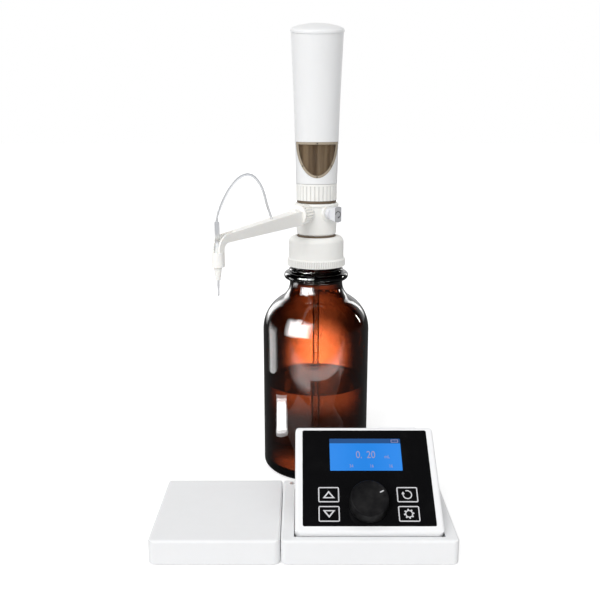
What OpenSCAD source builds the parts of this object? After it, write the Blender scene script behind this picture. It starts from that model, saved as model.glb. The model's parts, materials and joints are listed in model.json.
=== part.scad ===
// Digital burette: a motor-driven piston head on a reagent bottle, an arm with a titration tube,
// a control plate with a tilting panel, and a stirrer plate.
// Millimetres. +Z is up, -Y is the user's side, and the origin is the middle of the footprint.

/* [Plates] */
// Width of the stirrer plate
stirrer_w = 101.2; // [84:0.2:122]
// Width of the control plate
control_w = 136.8; // [114:0.2:165]
// Depth of both plates, front to back
plate_d = 101; // [84:0.5:122]
// Height of both plates, feet included
plate_h = 20.8; // [20:0.2:26]
// Gap between the two plates
plate_gap = 0.4; // [0.2:0.1:3]
// Height of the rubber feet
foot_h = 1; // [0.6:0.1:3]
// Diameter of the rubber feet
foot_d = 9; // [7:0.5:12]
// Wall of the plate covers
cover_t = 2.2; // [1.8:0.1:2.6]
// Radius of the plates' vertical corners
corner_r = 5; // [3:0.5:8]
// Radius of the plates' top edges
edge_r = 2.2; // [1:0.1:3]

/* [Tilting panel] */
// Width of the plate's shoulder on each side of the panel
shoulder_w = 10.9; // [9:0.1:14]
// How much shorter the panel is than the plate is deep
panel_inset = 8.5; // [7:0.5:16]
// Thickness of the panel
panel_t = 19; // [17:0.2:21]
// Wall of the panel housing
panel_wall = 2.2; // [1.8:0.1:2.8]
// Tilt of the panel above the level
panel_tilt = 37; // [30:1:45]
// Gap between the panel's sides and the plate's shoulders
panel_side_gap = 0.8; // [0.4:0.1:1.2]
// Diameter of the control knob
knob_d = 31; // [26:0.2:33]
// Height of the control knob
knob_h = 12; // [8:0.5:16]
// Width of the display's lit field
display_w = 58.5; // [49:0.5:68]
// Height of the display's lit field
display_h = 29; // [24:0.5:33]

/* [Bottle] */
// Outer diameter of the bottle's body
bottle_d = 101; // [92:0.5:121]
// Height of the bottle's straight wall
bottle_wall_h = 138; // [115:1:166]
// Glass thickness
glass_t = 2.6; // [2.2:0.1:3.2]
// Outer diameter of the neck below its flange
neck_d = 49.8; // [47:0.2:54]
// Outer diameter of the neck's flange
flange_d = 60.5; // [56:0.5:68]
// Distance from the plates' seam to the bottle's axis
bottle_off = 30.3; // [25:0.1:40]
// Clear space between the plates and the bottle
bottle_gap = 33.9; // [28:0.1:60]

/* [Screw cap] */
// Diameter of the cap's plain upper part
cap_d = 51.2; // [50:0.2:56]
// Diameter of the cap's ribbed rim
cap_rim_d = 54.3; // [53:0.1:60]
// Height of the ribbed rim
cap_rim_h = 6.2; // [4:0.2:9]
// Ribs on the rim
cap_ribs = 78; // [40:2:96]

/* [Valve block] */
// Diameter of the valve block near its top
block_d = 39.2; // [38:0.2:44]
// Height of the valve block
block_h = 29.4; // [27.6:0.1:34.5]
// Direction of the arm, seen from above
arm_az = 240; // [225:1:255]
// Direction of the valve knob, seen from above
knob_az = 305; // [300:1:325]
// Diameter of the valve key
key_d = 8.9; // [8:0.1:10]
// Length of the valve knob
valve_knob_l = 12.4; // [9:0.2:18]
// Width of the valve knob's handle across its outer end
valve_knob_d = 14.4; // [13:0.2:18]

/* [Head] */
// Diameter of the head's lower end
head_bottom_d = 38; // [37.4:0.2:41]
// Diameter of the head's upper end
head_top_d = 47.1; // [44:0.2:54]
// Height of the head housing, up to its sloping rim
head_h = 132; // [122:1:158]
// Wall of the head housing
head_wall = 2; // [1.6:0.1:2.4]
// Slope of the head's rim, down towards the user
rim_slope = 10.8; // [6:0.2:14]
// Outer diameter of the glass barrel
barrel_d = 25; // [23:0.2:26]
// Wall of the glass barrel
barrel_wall = 2; // [1.5:0.1:2.5]
// Length of the glass barrel
barrel_l = 62; // [54:1:64]
// Stroke of the piston
stroke = 34; // [26:1:36]
// Diameter of the piston rod
rod_d = 4; // [3.4:0.1:5]
// Height of the window
window_h = 31.9; // [26:0.1:34]
// Width of the window
window_w = 38; // [30:0.2:38]

/* [Coupling ring] */
// Diameter of the coupling ring
ring_d = 37.4; // [36.8:0.2:40]
// Height of the coupling ring
ring_h = 15; // [12:0.5:18]
// Grooves round the coupling ring
ring_grooves = 30; // [18:2:40]

/* [Arm] */
// Distance from the bottle's axis to the nozzle
arm_reach = 155.8; // [130:0.2:187]
// Width of the arm at its root
arm_root_w = 12; // [11:0.2:14]
// Depth of the arm at its root
arm_root_h = 12.6; // [12:0.2:15]
// Width of the arm at its elbow
arm_end_w = 7.2; // [7:0.2:10]
// Depth of the arm at its elbow
arm_end_h = 6.6; // [6:0.2:8]
// Diameter of the arm nut
nut_d = 17.4; // [16.6:0.2:20]
// Length of the arm nut
nut_l = 13.6; // [11:0.2:16]
// Ribs on the arm nut
nut_ribs = 20; // [12:2:24]
// Diameter of the titration tube
tube_d = 2; // [1.8:0.1:2.2]
// Outer diameter of the clear sleeve
sleeve_d = 3.8; // [3.4:0.1:4.1]
// Level of the capillary's end above the table
tip_z = 200; // [190:0.5:206]

/* [Hidden] */
$fn = 64;

// Clearances
run_gap = 0.05;     // radial, on a turning or sliding fit
seat_gap = 0.2;     // between faces that turn on each other
drop_gap = 0.1;     // round a piece that is laid or pushed into a seat
e = 0.02;           // overshoot of a cut

// Footprint
total_w = stirrer_w + plate_gap + control_w;
total_d = plate_d + bottle_gap + bottle_d;
seam_x = -total_w / 2 + stirrer_w + plate_gap / 2;
front_y = -total_d / 2;
stirrer_x = -total_w / 2 + stirrer_w / 2;
control_x = total_w / 2 - control_w / 2;
plate_y = front_y + plate_d / 2;
bottle_x = seam_x + bottle_off;
bottle_y = total_d / 2 - bottle_d / 2;

// Plates
cover_z = foot_h;
cover_h = plate_h - foot_h;
bottom_t = 2;
bottom_lap = cover_t + drop_gap;
tray_floor_z = 7;
tray_under_z = 4.6;
tray_rim = 6;
tray_back_wall = 3;
tray_back_z = 12;
screw_in = 12;
screw_r = 1.4;
screw_head_r = 2.7;
screw_head_h = 1.4;
screw_l = 9;
control_screw_l = 5.4;
boss_r = 3.6;
mark_r = 2.2;
mark_h = 1;
mark_x = 7.8 - control_w / 2;
mark_y = plate_d / 2 - 7;
stir_shaft_r = 1.6;
stir_motor_r = 15;
rotor_z = plate_h - 9;
rotor_r = 21;
magnet_r = 5;
magnet_h = 3.4;
magnet_x = 14;

// Panel: its own frame has x across, y up the slope and z out of the face
panel_w = control_w - 2 * shoulder_w;
panel_corner = 5;
panel_edge = 2.6;
panel_l = plate_d - panel_inset;
face_y = front_y + 2.9;
face_z = plate_h + 4.8;
pivot_up = 6;
pivot_in = 15;
hinge_y = face_y + pivot_up * cos(panel_tilt) + pivot_in * sin(panel_tilt);
hinge_z = face_z + pivot_up * sin(panel_tilt) - pivot_in * cos(panel_tilt);
hinge_r = 2;
hinge_pin_in = 3;
hinge_pin_out = 5.4;
glass_side = 6;
glass_front = 5.6;
glass_back = 3.5;
glass_sheet_t = 1.6;
glass_w = panel_w - 2 * glass_side;
glass_l = panel_l - glass_front - glass_back;
deck_t = 1.6;
deck_z = -glass_sheet_t - deck_t;
back_t = 2;
display_y = panel_l - 25.8;
display_frame = 3.6;
display_t = 6;
knob_y = 23.2;
knob_gap = 0.4;
knob_bore = 8;
shaft_r = 3;
bush_r = 3.5;
encoder_w = 12.5;
board_t = 1.6;
board_z = deck_z - 8.3;
panel_screw_in = 5.4;
panel_screw_r = 1.2;
cell_w = 60;
cell_l = 34;
cell_y = panel_l * 0.55;
flap_w = 33;
flap_h = 7;
flap_x = 28;
flap_z = -9.5;

// Bottle
lip_wall = 2.8;
shoulder_h = 45;
neck_rise = 3.65;
flange_t = 7.3;
bead_t = 3.4;
bead_r = 25.6;
finish_h = 28.15;
finish_d = 44.8;
foot_r = 6;
shoulder_r = 36 * bottle_d / 101;
neck_z = bottle_wall_h + shoulder_h;
flange_z = neck_z + neck_rise;
lip_z = flange_z + flange_t + finish_h;
shoulder_x = bottle_d / 2 - shoulder_r;
neck_step = neck_d / 2 - shoulder_x;
// Radius of the hollow below the neck, so that it meets the shoulder smoothly
hollow_r = (neck_step * neck_step + shoulder_h * shoulder_h - shoulder_r * shoulder_r)
    / (2 * (shoulder_r - neck_step));
hollow_x = neck_d / 2 + hollow_r;
shoulder_a = atan2(shoulder_h, hollow_x - shoulder_x);

// Cap and valve block
gasket_t = 1.5;
gasket_r = 15;
gasket_in = 1.5;
stem_flange_t = 1.6;
stem_flange_r = 21;
cap_top_t = 2.1;
cap_lift = 6.05;
cap_round = 5;
cap_gap = 1.4;
stem_r = 15.9;
nose_r = 9;
nose_z = lip_z - 18.6;
chamber_r = 4;
chamber_h = 16;
flange_bottom_z = lip_z + gasket_t;
cap_under_z = flange_bottom_z + stem_flange_t + seat_gap;
cap_top_z = cap_under_z + cap_top_t;
cap_bottom_z = flange_z + flange_t + cap_lift;
block_z = cap_top_z + cap_gap;
block_top_z = block_z + block_h;
axis_up = 21.3;
axis_z = block_z + axis_up;
duct_r = 1.5;
pad_x = block_d / 2 + 0.8;
pad_r = block_h - axis_up - 0.1;
pad_in = 8;
key_hole_r = key_d / 2 + run_gap;
key_in = 6;
key_out = 4.4;
fitting_r = 5.5;
fitting_in = 12.1;
fitting_out = 9;
ball_r = 2.5;
ball_chamber_r = 2.6;
seat_z = nose_z + 6.6;
seat_bore = 1.1;
// The ball rests in its seat's cone
intake_ball_z = seat_z + ball_r * sqrt(2) - seat_bore + 0.05;
return_r = 2;
return_y = gasket_r - return_r - 0.6;
return_in = 4;
return_down = 90;
dip_r = 3;
dip_z = 14;
nut_gap = 0.4;
nut_x = pad_x + nut_gap;
arm_x = nut_x + nut_l + nut_gap;
knob_x = pad_x + 0.3;
knob_collar_r = 5.4;
knob_neck_r = 5.6;
knob_flat = 3.7;

// Barrel, ring and head
boss_top_r = 15.6;
boss_top_h = 4.2;
barrel_seat = 6.1;
barrel_z = block_top_z + boss_top_h - barrel_seat;
ring_seal_t = 2.7;
ring_z = block_top_z + ring_seal_t;
head_z = ring_z + ring_h + 0.3;
rim_z = head_z + head_h;
spigot_r = 16.1;
// The spigot's bore leaves a share of its ring round the barrel free
spigot_in = barrel_d / 2 + (spigot_r - barrel_d / 2) * 5 / 18;
spigot_z = block_top_z + boss_top_h + seat_gap;
head_floor_t = 3.2;
ring_groove_r = 0.7;
ring_band_h = 1.8;
cap_sphere_r = 70;
cap_edge_r = 3;
cap_edge_z = 0.86;
cap_over = 0.5;
cap_shell = 2;
window_top_z = head_z + 37.2;
pane_in = 0.5;
pane_t = 1.2;
bezel_w = 2.2;
piston_z = barrel_z + 2;
piston_h = 12;
rod_in = 7;
groove_z = 4;
groove_deep = 1.6;
piston_r = barrel_d / 2 - barrel_wall - 0.2;
motor_z = head_z + 50;
motor_h = 32;
motor_r = 16.6;
nut_sleeve_r = 4.4;
nut_collar_r = 5.4;
nut_over = 2;
motor_flange_z = 12;
motor_flange_t = 2.4;
rod_top_z = motor_z + motor_h + 12;
guide_h = 5;
guide_x = -10.5;
guide_r = 1.5;
guide_top_z = rod_top_z + stroke + 1;
head_room = head_r((motor_z + motor_h - head_z) / head_h) - head_wall - 0.3;
cell_r = (head_room - nut_collar_r - 0.3) / 2;
cell_x = head_room - cell_r;
cell_h = 30;
head_board_w = 22;
head_board_h = 34;
head_board_y = 12;
// Pins that hold the window's bezel: [angle from the front, height below the window's top]
PIN_PLACES = [[0, 1.2], [0, window_h - 1.2], [-41.5, 21.2], [41.5, 21.2]];
pin_r = 0.65;
pin_in = 0.3;

// Arm: heights are measured from the arm's axis
under_root = -8.8;
under_end = -9.8;
bend_r = 5.4;
bend_x = arm_reach - 9.7;
bend_z = under_end - bend_r;
arm_flange_t = 1.6;
holder_r = 4.9;
holder_top_r = 4.2;
holder_z = axis_z - 27.4;
holder_top = axis_z - 16.4;
trough_w = 4.4;
trough_deep = 4.6;
trough_x = bend_x - 12;
trough_floor = under_end + arm_end_h - trough_deep;
nozzle_r = 2.9;
nozzle_bore = 0.6;
tube_tilt = 30;
sleeve_z = axis_z - 8.2;
sleeve_top = axis_z + 6.9;
tip_end_z = axis_z - 37.7;
capillary_r = 1.1;
capillary_in = 6;

// Free stretch of the titration tube: distance from the bottle's axis and height above the arm's axis
TUBE_ROUTE = [
    [77.0, -1.0], [79.2, 2.8], [81.4, 6.6], [83.6, 10.4], [85.8, 14.6], [87.7, 19.0], [89.8, 23.4],
    [92.4, 27.6], [95.6, 31.4], [99.6, 34.8], [104.0, 37.6], [108.6, 39.4], [113.4, 40.2],
    [118.4, 39.9], [123.4, 38.8], [128.2, 37.0], [132.7, 34.6], [136.9, 31.8], [140.7, 28.8],
    [144.3, 25.4], [147.5, 21.9], [150.4, 18.3], [152.9, 14.6], [154.9, 10.8], [155.8, 6.9],
    [155.8, 2.4], [155.8, -2.0]
];

// ---- Shared shapes ----

function arc(c, r, a0, a1, n = 8) =
    [for (i = [0:n]) let (a = a0 + (a1 - a0) * i / n) [c[0] + r * cos(a), c[1] + r * sin(a)]];

// Outer radius of the head at a height from 0 at its lower end to 1 at its rim
function head_r(t) = head_bottom_d / 2 + (head_top_d - head_bottom_d) / 2 * (0.49 * t + 0.51 * t * t);

module at_bottle() {
    translate([bottle_x, bottle_y, 0]) children();
}

// Frame with +X along the arm, at the arm's own level
module at_arm() {
    at_bottle() translate([0, 0, axis_z]) rotate([0, 0, arm_az]) children();
}

// Frame with +X along the valve key
module at_key() {
    at_bottle() translate([0, 0, axis_z]) rotate([0, 0, knob_az]) children();
}

// Frame of the tilted panel
module at_panel() {
    translate([control_x, face_y, face_z]) rotate([panel_tilt, 0, 0]) children();
}

module tube(r_out, r_in, h) {
    difference() {
        cylinder(r = r_out, h = h);
        translate([0, 0, -e]) cylinder(r = r_in, h = h + 2 * e);
    }
}

// Cylinder along +X from x0 to x1
module rod_x(r, x0, x1) {
    translate([x0, 0, 0]) rotate([0, 90, 0]) cylinder(r = r, h = x1 - x0);
}

module rounded_square(w, d, r) {
    square([w - 2 * r, d], center = true);
    square([w, d - 2 * r], center = true);
    for (x = [-1, 1], y = [-1, 1]) {
        translate([x * (w / 2 - r), y * (d / 2 - r)]) circle(r = r);
    }
}

// Upright outline with its two upper corners rounded, standing on y = 0
module dome_square(w, h, r) {
    translate([-w / 2, 0]) square([w, h - r]);
    translate([-w / 2 + r, 0]) square([w - 2 * r, h]);
    for (x = [-1, 1]) translate([x * (w / 2 - r), h - r]) circle(r = r);
}

// Block with rounded vertical corners and rounded top edges, centred on its base
module soft_block(w, d, h, corner, edge) {
    intersection() {
        linear_extrude(h) rounded_square(w, d, corner);
        rotate([90, 0, 0]) linear_extrude(d + 2, center = true) dome_square(w, h, edge);
        rotate([90, 0, 90]) linear_extrude(w + 2, center = true) dome_square(d, h, edge);
    }
}

// Round outline with ribs that stand out of it
module ribbed_circle(d, ribs, rib_r, rise) {
    circle(r = d / 2 - rise, $fn = 96);
    for (i = [0:ribs - 1]) {
        rotate(i * 360 / ribs) translate([d / 2 - rib_r, 0]) circle(r = rib_r, $fn = 16);
    }
}

module seal_ring(mid_r, section_r) {
    rotate_extrude() translate([mid_r, 0]) circle(r = section_r, $fn = 24);
}

// Points of the panel's screws, in the panel's frame
function panel_screw_points() =
    [for (x = [-1, 1], y = [panel_screw_in + 12, panel_l - panel_screw_in])
        [x * (panel_w / 2 - panel_screw_in), y]];

// Places of a plate's four screws round its middle
function plate_screw_points(w) =
    [for (x = [-1, 1], y = [-1, 1]) [x * (w / 2 - screw_in), y * (plate_d / 2 - screw_in)]];

// Places of a plate's four feet round its middle
function foot_points(w) =
    [for (x = [-1, 1], y = [-1, 1]) [x * (w / 2 - screw_in - 9), y * (plate_d / 2 - screw_in)]];

// ---- Bottle ----

function bottle_outside() = concat(
    [[0, 3], [bottle_d / 2 - foot_r - 6, 2.2], [bottle_d / 2 - foot_r - 3, 0]],
    arc([bottle_d / 2 - foot_r, foot_r], foot_r, -90, 0),
    arc([shoulder_x, bottle_wall_h], shoulder_r, 0, shoulder_a, 14),
    arc([hollow_x, neck_z], hollow_r, 180 + shoulder_a, 180, 10),
    [[neck_d / 2, flange_z]],
    arc([(flange_d - flange_t) / 2, flange_z + flange_t / 2], flange_t / 2, -90, 90),
    arc([bead_r - bead_t / 2, flange_z + flange_t + bead_t / 2], bead_t / 2, -90, 90),
    [[finish_d / 2, flange_z + flange_t + bead_t], [finish_d / 2, lip_z - 0.8],
     [finish_d / 2 - 0.8, lip_z]]
);

function bottle_inside() = concat(
    [[finish_d / 2 - lip_wall, lip_z], [finish_d / 2 - lip_wall, flange_z + 2],
     [neck_d / 2 - glass_t, flange_z - 1.5]],
    arc([hollow_x, neck_z], hollow_r + glass_t, 180, 180 + shoulder_a, 10),
    arc([shoulder_x, bottle_wall_h], shoulder_r - glass_t, shoulder_a, 0, 14),
    arc([bottle_d / 2 - glass_t - foot_r, foot_r + 6], foot_r, 0, -90),
    [[0, 7]]
);

module bottle() {
    color([0.36, 0.13, 0.03, 0.8])
    at_bottle() rotate_extrude($fn = 96) polygon(concat(bottle_outside(), bottle_inside()));
}

module bottle_gasket() {
    color([0.85, 0.83, 0.78])
    at_bottle() translate([0, 0, lip_z]) tube(finish_d / 2 - gasket_in, gasket_r, gasket_t);
}

module screw_cap() {
    color([0.93, 0.93, 0.91])
    at_bottle() difference() {
        union() {
            rotate_extrude($fn = 96) polygon(concat(
                [[0, cap_bottom_z + 1], [cap_d / 2, cap_bottom_z + 1]],
                arc([cap_d / 2 - cap_round, cap_top_z - cap_round], cap_round, 0, 90, 8),
                [[0, cap_top_z]]
            ));
            translate([0, 0, cap_bottom_z]) linear_extrude(cap_rim_h)
                ribbed_circle(cap_rim_d, cap_ribs, 0.62, 0.5);
            translate([0, 0, cap_bottom_z + cap_rim_h - e])
                cylinder(r1 = cap_rim_d / 2 - 0.5, r2 = cap_d / 2, h = 1.4);
        }
        translate([0, 0, cap_bottom_z - e])
            cylinder(r = finish_d / 2 + 0.4, h = lip_z - cap_bottom_z + 2 * e);
        translate([0, 0, lip_z]) cylinder(r = stem_flange_r + 0.4, h = cap_under_z - lip_z);
        cylinder(r = stem_r + run_gap, h = cap_top_z + 1);
        translate([0, 0, cap_top_z - 0.8]) cylinder(r = 19, h = 1);
    }
}

module cap_seal_ring() {
    color([0.33, 0.24, 0.13])
    at_bottle() translate([0, 0, block_z - 1.05]) seal_ring(stem_r + 1.12, 1.0);
}

// ---- Valve block ----

module block_body() {
    rotate_extrude() polygon(concat(
        [[0, nose_z], [nose_r - 0.8, nose_z], [nose_r, nose_z + 0.8], [nose_r, flange_bottom_z],
         [stem_flange_r, flange_bottom_z], [stem_flange_r, flange_bottom_z + stem_flange_t],
         [stem_r, flange_bottom_z + stem_flange_t], [stem_r, block_z]],
        arc([block_d / 2 - 3.6, block_z + 2.4], 2.4, -90, 0, 6),
        [[block_d / 2, block_top_z - 3.6]],
        arc([block_d / 2 - 0.6, block_top_z - 1.6], 1.6, -20, 90, 6),
        [[boss_top_r, block_top_z], [boss_top_r, block_top_z + boss_top_h],
         [0, block_top_z + boss_top_h]]
    ));
}

module valve_block() {
    color([0.91, 0.91, 0.89])
    difference() {
        union() {
            at_bottle() block_body();
            at_arm() rod_x(pad_r, pad_x - pad_in, pad_x);
            at_key() rod_x(pad_r - 0.4, pad_x - pad_in, pad_x);
        }
        // Upright duct, with the intake chamber below and the barrel's seat above
        at_bottle() {
            translate([0, 0, nose_z - e]) cylinder(r = chamber_r, h = chamber_h);
            cylinder(r = duct_r, h = block_top_z + boss_top_h);
            translate([0, 0, barrel_z]) cylinder(r = barrel_d / 2 + drop_gap, h = barrel_seat + 1);
            // Socket of the return tube
            translate([0, return_y, flange_bottom_z - e])
                cylinder(r = return_r + run_gap, h = return_in + 1);
        }
        at_arm() {
            rod_x(duct_r, 0, pad_x);
            rod_x(fitting_r, fitting_in, pad_x + 1);
        }
        at_key() rod_x(key_hole_r, -key_in - 0.2, pad_x + 1);
    }
}

module intake_valve() {
    color([0.9, 0.9, 0.88])
    at_bottle() difference() {
        union() {
            translate([0, 0, nose_z - 2]) cylinder(r = chamber_r + 1.6, h = 2);
            translate([0, 0, nose_z - e]) cylinder(r = chamber_r, h = 8);
            translate([0, 0, nose_z - 10]) cylinder(r1 = 1.8, r2 = 2, h = 10);
        }
        translate([0, 0, nose_z - 11]) cylinder(r = seat_bore, h = 20);
        translate([0, 0, seat_z]) cylinder(r1 = seat_bore, r2 = seat_bore + 1.4, h = 1.4 + e);
    }
}

module intake_ball() {
    color([0.75, 0.2, 0.2])
    at_bottle() translate([0, 0, intake_ball_z]) sphere(r = ball_r);
}

module outlet_fitting() {
    color([0.88, 0.88, 0.86])
    at_arm() difference() {
        rod_x(fitting_r, fitting_in, arm_x + fitting_out);
        rod_x(duct_r, fitting_in - 1, arm_x + fitting_out + 1);
        rod_x(ball_chamber_r, fitting_in + 6, arm_x + 2);
    }
}

module outlet_ball() {
    color([0.75, 0.2, 0.2])
    at_arm() translate([fitting_in + 6 + ball_r + 0.3, 0, 0]) sphere(r = ball_r);
}

module valve_key() {
    color([0.8, 0.8, 0.78])
    at_key() difference() {
        rod_x(key_d / 2, -key_in, pad_x + key_out);
        rotate([0, 0, arm_az - knob_az]) rod_x(duct_r, 0, key_d);
        cylinder(r = duct_r, h = key_d, center = true);
    }
}

module valve_knob() {
    color([0.94, 0.94, 0.95])
    at_key() difference() {
        union() {
            rod_x(knob_collar_r, knob_x, pad_x + key_out + 0.4);
            // Handle: a flaring grip with two upright flats
            intersection() {
                translate([knob_x + 2.4, 0, 0]) rotate([0, 90, 0])
                    cylinder(r1 = knob_neck_r, r2 = valve_knob_d / 2, h = valve_knob_l - 2.4);
                translate([knob_x, -knob_flat, -valve_knob_d])
                    cube([valve_knob_l + 2, 2 * knob_flat, 2 * valve_knob_d]);
            }
        }
        rod_x(key_d / 2, pad_x, pad_x + key_out);
    }
}

module dip_tube() {
    color([0.85, 0.85, 0.85, 0.6])
    at_bottle() translate([0, 0, dip_z]) tube(dip_r, dip_r - 1, nose_z - 2 - dip_z);
}

module return_tube() {
    color([0.85, 0.85, 0.85, 0.6])
    at_bottle() translate([0, return_y, lip_z - return_down])
        tube(return_r, return_r - 0.8, return_down + gasket_t + return_in);
}

// ---- Coupling ring and barrel ----

module block_seal_ring() {
    color([0.33, 0.24, 0.13])
    at_bottle() translate([0, 0, block_top_z + ring_seal_t / 2]) seal_ring(boss_top_r + 1.35, 1.25);
}

module coupling_ring() {
    color([0.93, 0.93, 0.91])
    at_bottle() translate([0, 0, ring_z]) difference() {
        cylinder(r = ring_d / 2, h = ring_h);
        translate([0, 0, -e]) cylinder(r = spigot_r + run_gap, h = ring_h + 2 * e);
        for (i = [0:ring_grooves - 1]) {
            rotate(i * 360 / ring_grooves) translate([ring_d / 2 + 0.2, 0, -e])
                cylinder(r = ring_groove_r, h = ring_h - ring_band_h, $fn = 16);
        }
    }
}

module glass_barrel() {
    color([0.8, 0.85, 0.88, 0.4])
    at_bottle() translate([0, 0, barrel_z]) tube(barrel_d / 2, barrel_d / 2 - barrel_wall, barrel_l);
}

// ---- Head ----

// Outline of the head, moved in by inset, between two shares of its height
function head_side(inset, t0, t1, n) =
    [for (i = [0:n]) let (t = t0 + (t1 - t0) * i / n) [head_r(t) - inset, head_z + t * head_h]];

function flip(list) = [for (i = [len(list) - 1:-1:0]) list[i]];

// Everything above the sloping rim
module above_rim(lift = 0) {
    translate([0, 0, rim_z + lift]) rotate([rim_slope, 0, 0]) translate([-40, -40, 0]) cube([80, 80, 30]);
}

// Front half of a U-shaped window, shrunk by inset
module window_prism(inset = 0) {
    w = window_w / 2 - inset;
    h = window_h - inset;
    translate([0, 0, window_top_z]) rotate([90, 0, 0]) linear_extrude(40)
        polygon([for (a = [0:7.5:180]) [w * cos(a), -max(h * sin(a), inset)]]);
}

// Wall of the head round the window, from one depth below its outside to another
module window_wall(depth0, depth1) {
    t0 = (window_top_z - window_h - 1 - head_z) / head_h;
    t1 = (window_top_z + 1 - head_z) / head_h;
    rotate_extrude() polygon(concat(head_side(depth0, t0, t1, 3), flip(head_side(depth1, t0, t1, 3))));
}

module head_housing() {
    color([0.94, 0.94, 0.94])
    at_bottle() difference() {
        rotate_extrude() polygon(concat(
            [[spigot_in, spigot_z], [spigot_r, spigot_z], [spigot_r, head_z]],
            head_side(0, 0, 1.06, 12),
            flip(head_side(head_wall, head_floor_t / head_h, 1.06, 12)),
            [[spigot_in, head_z + head_floor_t]]
        ));
        above_rim();
        window_prism();
        pin_rods(1);
    }
}

// Outline of the head cap moved in by inset: a rounded edge that runs into a shallow dome
function cap_side(inset, base_r, n) =
    let (edge_x = head_top_d / 2 + cap_over - cap_edge_r,
        drop = sqrt(pow(cap_sphere_r - cap_edge_r, 2) - edge_x * edge_x),
        meet_a = atan2(drop, edge_x), r = cap_sphere_r - inset)
    inset > 0
        ? arc([0, cap_edge_z - drop], r, acos(base_r / r), 90, n)
        : concat(arc([edge_x, cap_edge_z], cap_edge_r, 0, meet_a, 8),
            arc([0, cap_edge_z - drop], r, meet_a, 90, n));

module head_cap() {
    lug_r = head_top_d / 2 - head_wall - 1.3;
    hollow_r = lug_r - 1.7;
    color([0.95, 0.95, 0.95])
    at_bottle() translate([0, 0, rim_z + 0.1]) rotate([rim_slope, 0, 0]) difference() {
        union() {
            rotate_extrude($fn = 96) polygon(concat(
                [[0, 0], [head_top_d / 2 + cap_over, 0]], cap_side(0, 0, 8)));
            translate([0, 0, -2.6]) cylinder(r = lug_r, h = 3);
        }
        rotate_extrude($fn = 96) polygon(concat(
            [[0, -2.6 - e], [hollow_r, -2.6 - e]], cap_side(cap_shell, hollow_r, 6)));
    }
}

module window_bezel() {
    color([0.5, 0.4, 0.3])
    at_bottle() difference() {
        intersection() {
            window_wall(0, head_wall - 0.1);
            window_prism(0.1);
        }
        window_prism(bezel_w);
        pin_rods(1);
    }
}

module window_pane() {
    color([0.3, 0.2, 0.12, 0.6])
    at_bottle() intersection() {
        window_wall(pane_in, pane_in + pane_t);
        window_prism(bezel_w + 0.05);
    }
}

// The pins in the head's wall, standing out by a given length
module pin_rods(out) {
    for (p = PIN_PLACES) {
        z = window_top_z - p[1];
        r = head_r((z - head_z) / head_h);
        translate([0, 0, z]) rotate([0, 0, -90 + p[0]]) rod_x(pin_r, r - pin_in, r + out);
    }
}

module window_pins() {
    color([0.2, 0.18, 0.16])
    at_bottle() pin_rods(0.25);
}

module drive_motor() {
    flange_r = head_r((motor_z + motor_flange_z - head_z) / head_h) - head_wall - 0.15;
    color([0.25, 0.26, 0.28])
    at_bottle() translate([0, 0, motor_z]) difference() {
        union() {
            cylinder(r = motor_r, h = motor_h);
            // Mounting flange that reaches the housing's wall
            difference() {
                translate([0, 0, motor_flange_z]) cylinder(r = flange_r, h = motor_flange_t);
                for (a = [45:90:315]) rotate([0, 0, a]) translate([flange_r + 1, 0, 0])
                    cylinder(r = 3, h = motor_h);
            }
        }
        translate([0, 0, -e]) cylinder(r = nut_sleeve_r + run_gap, h = motor_h + 2 * e);
    }
}

module drive_nut() {
    color([0.72, 0.6, 0.3])
    at_bottle() translate([0, 0, motor_z - nut_over]) difference() {
        union() {
            cylinder(r = nut_sleeve_r, h = motor_h + 2 * nut_over);
            for (z = [0, motor_h + nut_over + 0.2]) translate([0, 0, z])
                cylinder(r = nut_collar_r, h = nut_over - 0.2);
        }
        translate([0, 0, -e]) cylinder(r = rod_d / 2 + run_gap, h = motor_h + 2 * nut_over + 2 * e);
    }
}

module piston() {
    color([0.95, 0.95, 0.93])
    at_bottle() translate([0, 0, piston_z]) difference() {
        cylinder(r = piston_r, h = piston_h);
        translate([0, 0, piston_h - rod_in]) cylinder(r = rod_d / 2, h = rod_in + 1);
        translate([0, 0, groove_z]) tube(piston_r + 1, piston_r - groove_deep, 2.4);
    }
}

module piston_seal() {
    color([0.15, 0.15, 0.15])
    at_bottle() translate([0, 0, piston_z + groove_z + 0.1])
        tube(barrel_d / 2 - barrel_wall - 0.03, piston_r - groove_deep + 0.05, 2.2);
}

module piston_rod() {
    color([0.25, 0.25, 0.27])
    at_bottle() translate([0, 0, piston_z + piston_h - rod_in])
        cylinder(r = rod_d / 2, h = rod_top_z - piston_z - piston_h + rod_in);
}

module rod_guide() {
    color([0.85, 0.85, 0.83])
    at_bottle() translate([0, 0, rod_top_z - guide_h]) difference() {
        union() {
            cylinder(r = rod_d / 2 + 2, h = guide_h);
            translate([guide_x, 0, 0]) cylinder(r = guide_r + 1.8, h = guide_h);
            translate([guide_x, -2, 0]) cube([-guide_x, 4, guide_h]);
        }
        translate([0, 0, -e]) cylinder(r = rod_d / 2, h = guide_h + 2 * e);
        translate([guide_x, 0, -e]) cylinder(r = guide_r + run_gap, h = guide_h + 2 * e);
    }
}

module guide_rod() {
    color([0.7, 0.7, 0.72])
    at_bottle() translate([guide_x, 0, motor_z + motor_h])
        cylinder(r = guide_r, h = guide_top_z - motor_z - motor_h);
}

module head_board() {
    color([0.1, 0.35, 0.2])
    at_bottle() translate([-head_board_w / 2, head_board_y, motor_z + motor_h])
        cube([head_board_w, board_t, head_board_h]);
}

module head_battery() {
    color([0.2, 0.35, 0.6])
    at_bottle() translate([cell_x, 0, motor_z + motor_h]) cylinder(r = cell_r, h = cell_h);
}

// ---- Arm, tube and nozzle ----

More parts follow.
